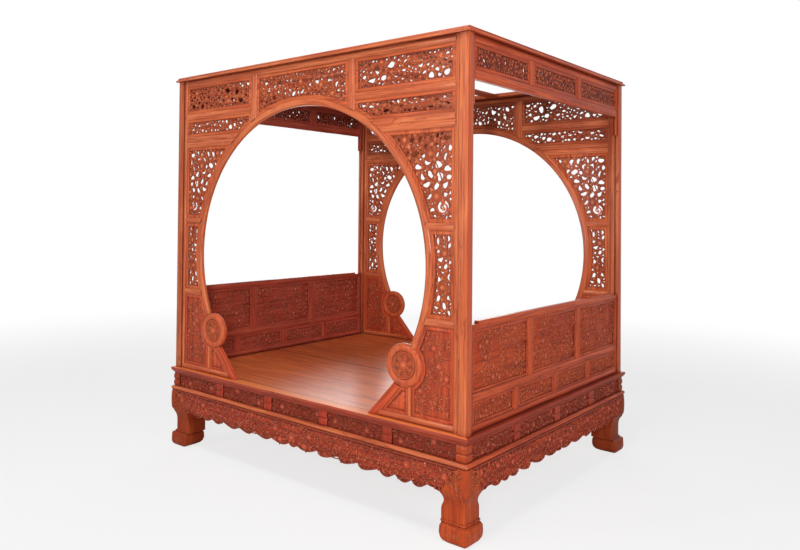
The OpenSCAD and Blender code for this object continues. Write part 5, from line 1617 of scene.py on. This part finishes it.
GATE_FRIEZE_BARS = [bar(MUNTIN_X, MUNTIN, UNDER_FRIEZE, UP_TOP),
                    bar(STILE_X + STILE / 2, STILE, UNDER_FRIEZE, OVER_FRIEZE)]
GATE_JAMB_BARS = [bar(DIVIDER_X, DIVIDER, JAMB_FOOT, MEDAL_Z),
                  bar(STILE_X + STILE / 2, STILE, UNDER_DECK, OVER_JAMBS)]

# The painted shade that the posts get on the faces that look along the bed
POST_SIDE_SHADE = (post_side_shade, END_SHADED_TONES[1])

# Woods of the sides, the deck and the base
finish = {
    "x": wood("rosewood_lengthwise", along_x, FRAME_TONES),
    "platform_x": wood("platform_lengthwise", along_x, PLATFORM_SHADED_TONES, coat=0.20, spec=0.15, haze=0.25,
                       topped=(lit_rail_top, DECK_LIT_TONES[0])),
    "platform_y": wood("platform_crosswise", along_y, PLATFORM_SHADED_TONES, **MATT),
    "y": wood("rosewood_crosswise", along_y, END_SHADED_TONES, **MATT),
    "z": wood("rosewood_upright", upright, FRAME_TONES, topped=POST_SIDE_SHADE),
    # painted shade: a darker copy of the upright wood for the front left post
    "z_shaded": wood("rosewood_upright_shaded", upright, shaded_copy(FRAME_TONES, 0.78), topped=POST_SIDE_SHADE),
    "gate_frieze": wood("rosewood_gate_frieze", framed(0, GATE_FRIEZE_BARS), FRAME_TONES),
    # painted shade: darker copies for the rear frieze and the rear arch
    "rear_frieze_shaded": wood("rosewood_rear_frieze_shaded", framed(0, GATE_FRIEZE_BARS), shaded_copy(FRAME_TONES, 0.86)),
    "gate_jambs": wood("rosewood_gate_jambs", framed(0, GATE_JAMB_BARS), FRAME_TONES),
    "ring": wood("rosewood_ring", round_the_gate, FRAME_TONES),
    "rear_arch": wood("rosewood_rear_arch_shaded", round_the_gate, shaded_copy(FRAME_TONES, 0.72)),
    "strut": wood("rosewood_strut", along_strut, CARVED_TONES),
    "deck": wood("deck_boards", board_grain, DECK_LIT_TONES, rough=0.26, coat=0.42, spec=0.26, haze=0.26,
                 joints=deck_joints),
    "inner": wood("inner_timber", along_x, INNER_TONES, rough=0.36, coat=0.04),
    "open_x": wood("carved_openwork_long", along_x, OPEN_TONES, **OPENWORK),
    "rear_open_x_shaded": wood("carved_openwork_rear_shaded", along_x, shaded_copy(OPEN_TONES, 0.66), **REAR_SHADED_OPENWORK),
    "open_z": wood("carved_openwork_upright", upright, OPEN_TONES, **OPENWORK),
    "relief_x": wood("carved_relief_long", along_x, APRON_TONES, carved=SHALLOW),
    "apron_y": wood("carved_apron_ends", along_y, APRON_TONES, carved=SHALLOW, **MATT),
    "relief_z": wood("carved_relief_upright", upright, CARVED_TONES, carved=SHALLOW),
    "medallion": wood("carved_medallion", upright, MEDALLION_TONES, carved=0.10, foot_shade=0.60),
    "waist": wood("carved_waist", along_x, WAIST_TONES, **WAIST_RELIEF),
    "block": wood("waist_block", upright, BLOCK_TONES, top_highlight=0.0, foot_shade=0.0, **WAIST_RELIEF),
    "leg": wood("carved_leg", upright, LEG_TONES, top_highlight=0.30, **LEG_RELIEF),
    # painted shade: a darker copy for the legs away from the light
    "leg_shaded": wood("carved_leg_shaded", upright, shaded_copy(LEG_TONES, 0.72), top_highlight=0.20, **LEG_RELIEF),
}

# CAD nodes that keep their solids, by the wood that they get
KEPT = {
    "x": ["waist_moulding_front", "waist_moulding_rear", "canopy_rails_long"],
    "y": ["waist_moulding_left", "waist_moulding_right", "canopy_rails_short"],
    "platform_x": ["platform_rail_front", "platform_rail_rear"],
    "platform_y": ["platform_rail_left", "platform_rail_right"],
    "z": ["post_front_right", "post_rear_left", "post_rear_right"],
    # the front left post in painted shade
    "z_shaded": ["post_front_left"],
    "gate_frieze": ["front_frieze_frame"],
    "rear_frieze_shaded": ["rear_frieze_frame"],
    "gate_jambs": ["front_jamb_frames", "rear_jamb_frames"],
    "ring": ["front_arch", "front_ring_left", "front_ring_right", "rear_ring_left", "rear_ring_right"],
    "rear_arch": ["rear_arch"],
    "strut": ["front_struts", "rear_struts"],
    "deck": ["deck_board_front", "deck_board_rear"],
    "inner": ["deck_bearers", "canopy_battens"],
}
kept_woods = [(node_name, finish[key]) for key, names in KEPT.items() for node_name in names]
for end_side, woods in END_WOODS.items():
    kept_woods += [(SIDE_NAMES[end_side] + "_frieze_frame", woods["frieze"]),
                   (SIDE_NAMES[end_side] + "_railing_frame", woods["railing"])]
for node_name, wood_of_node in kept_woods:
    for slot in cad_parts[node_name].material_slots:
        slot.material = wood_of_node

for gate_side in (FRONT, REAR):
    gate_pieces(gate_side, finish)
    medallion_pieces(gate_side, finish)
for end_side in (LEFT, RIGHT):
    end_pieces(end_side, END_WOODS[end_side])
for base_side in range(4):
    apron_pieces(base_side, finish)
waist_pieces(finish)
leg_pieces(finish)


# Floor, light and camera

FLOOR_R, FLOOR_DROP = 9.0, 0.0005
FLOOR_RINGS, FLOOR_SPOKES = 24, 96
FADE_FROM, FADE_TO = 3.0, 7.5
FLOOR_GREY, SEEN_WHITE = 0.86, 0.74
WHITE = (1, 1, 1, 1)


def pale_floor():
    """A round floor that keeps the bed's shadow and fades into the white around it."""
    rings, spokes = FLOOR_RINGS, FLOOR_SPOKES
    r = FLOOR_R * np.linspace(0, 1, rings + 1)[1:, None]
    a = 2 * np.pi * np.arange(spokes) / spokes
    flat = [r * np.cos(a), r * np.sin(a), np.full((rings, spokes), -FLOOR_DROP)]
    points = np.stack(flat, -1).reshape(-1, 3)
    grid = np.arange(rings * spokes).reshape(rings, spokes)
    faces = sheet_quads(np.concatenate([grid, grid[:, :1]], 1))
    mesh = bpy.data.meshes.new("floor")
    mesh.from_pydata(points.tolist(), [], faces.tolist() + [grid[0].tolist()])
    made = bpy.data.objects.new("floor", mesh)
    bpy.context.scene.collection.objects.link(made)
    material = bpy.data.materials.new("pale_floor")
    material.use_nodes = True
    tree = material.node_tree
    tree.nodes.clear()
    t = Tree(tree)
    place = t.node("ShaderNodeTexCoord").outputs["Object"]
    reach = t.node("ShaderNodeVectorMath", {"operation": "LENGTH"}, i0=place).outputs["Value"]
    seen = t.node("ShaderNodeLightPath").outputs["Is Camera Ray"]
    diffuse = t.node("ShaderNodeBsdfDiffuse", None, Color=(FLOOR_GREY,) * 3 + (1,)).outputs[0]
    white = t.node("ShaderNodeEmission", None, Color=WHITE, Strength=1.0).outputs[0]
    share = t.math("MULTIPLY", seen, SEEN_WHITE)
    pale = t.node("ShaderNodeMixShader", None, i0=share, i1=diffuse, i2=white).outputs[0]
    clear = t.node("ShaderNodeBsdfTransparent").outputs[0]
    fade = t.steps(reach, FADE_FROM, FADE_TO)
    out = t.node("ShaderNodeMixShader", None, i0=fade, i1=pale, i2=clear).outputs[0]
    tree.links.new(out, t.node("ShaderNodeOutputMaterial").inputs[0])
    mesh.materials.append(material)


def white_world(ambient):
    """White behind the bed and in its varnish, a plain soft light for everything else."""
    world = bpy.data.worlds.new("studio")
    bpy.context.scene.world = world
    world.use_nodes = True
    tree = world.node_tree
    tree.nodes.clear()
    t = Tree(tree)
    path = t.node("ShaderNodeLightPath").outputs
    seen = t.math("MAXIMUM", path["Is Camera Ray"],
                  t.math("MAXIMUM", path["Is Glossy Ray"], path["Is Transmission Ray"]))
    soft = t.node("ShaderNodeBackground", None, Color=WHITE, Strength=ambient).outputs[0]
    white = t.node("ShaderNodeBackground", None, Color=WHITE, Strength=1.0).outputs[0]
    out = t.node("ShaderNodeMixShader", None, i0=seen, i1=soft, i2=white).outputs[0]
    tree.links.new(out, t.node("ShaderNodeOutputWorld").inputs[0])


def looking(position, forward, roll_deg):
    """Placement of a lamp or camera that looks along a direction, rolled about it."""
    forward = np.array(forward, float) / np.linalg.norm(forward)
    right = np.cross(forward, [0, 0, 1.0])
    right /= np.linalg.norm(right)
    up = np.cross(right, forward)
    roll = math.radians(roll_deg)
    right, up = (right * math.cos(roll) + up * math.sin(roll), up * math.cos(roll) - right * math.sin(roll))
    placed = np.eye(4)
    placed[:3, 0], placed[:3, 1], placed[:3, 2], placed[:3, 3] = right, up, -forward, position
    return Matrix(placed.tolist())


def softbox(name, position, aim, size, power):
    """An oblong lamp, size across and up, that looks at a point and isn't seen itself."""
    lamp = bpy.data.lights.new(name, "AREA")
    lamp.shape, lamp.size, lamp.size_y, lamp.energy = "RECTANGLE", size[0], size[1], power
    made = bpy.data.objects.new(name, lamp)
    made.visible_camera = False
    made.matrix_world = looking(position, np.array(aim, float) - position, 0.0)
    bpy.context.scene.collection.objects.link(made)


# The photograph's frame and camera: focal length and principal point in its pixels
PHOTO_W, PHOTO_H = 800, 550
FOCAL_PX = 729.3
CENTRE_X, CENTRE_Y = 342.4, 200.1
YAW, PITCH, ROLL_DEG = math.radians(41.30), math.radians(0.864), 0.557
EYE = (2.8670, -3.8235, 1.5255)
SENSOR = 36.0
FAR = 60

# Lamps: where each stands, what it looks at, its size and its power
AMBIENT = 0.10
LAMPS = [
    ("key", (3.4, -5.4, 2.1), (0.2, 0, 1.1), (1.0, 1.0), 145),
    ("top", (1.2, -3.0, 6.0), (0, 0, 1.1), (1.4, 1.4), 125),
    ("side", (6.0, -1.5, 2.6), (0, 0, 1.1), (1.4, 1.4), 88),
    ("sheen", (-2.1, -6.0, 2.4), (0.4, 0, 1.4), (0.5, 3.2), 80),
    ("window", (-3.3, 4.2, 2.3), (0, 0, 1.2), (3.4, 2.4), 80),
]

camera_data = bpy.data.cameras.new("camera")
camera_data.sensor_fit = "HORIZONTAL"
camera_data.sensor_width = SENSOR
camera_data.lens = SENSOR * FOCAL_PX / PHOTO_W
camera_data.shift_x = (PHOTO_W / 2 - CENTRE_X) / PHOTO_W
camera_data.shift_y = (CENTRE_Y - PHOTO_H / 2) / PHOTO_W
camera_data.clip_end = FAR
camera = bpy.data.objects.new("camera", camera_data)
ahead = (-math.sin(YAW) * math.cos(PITCH), math.cos(YAW) * math.cos(PITCH), math.sin(PITCH))
camera.matrix_world = looking(EYE, ahead, ROLL_DEG)
bpy.context.scene.collection.objects.link(camera)
bpy.context.scene.camera = camera

pale_floor()
white_world(AMBIENT)
for lamp in LAMPS:
    softbox(*lamp)
bpy.context.scene.view_settings.view_transform = "Standard"
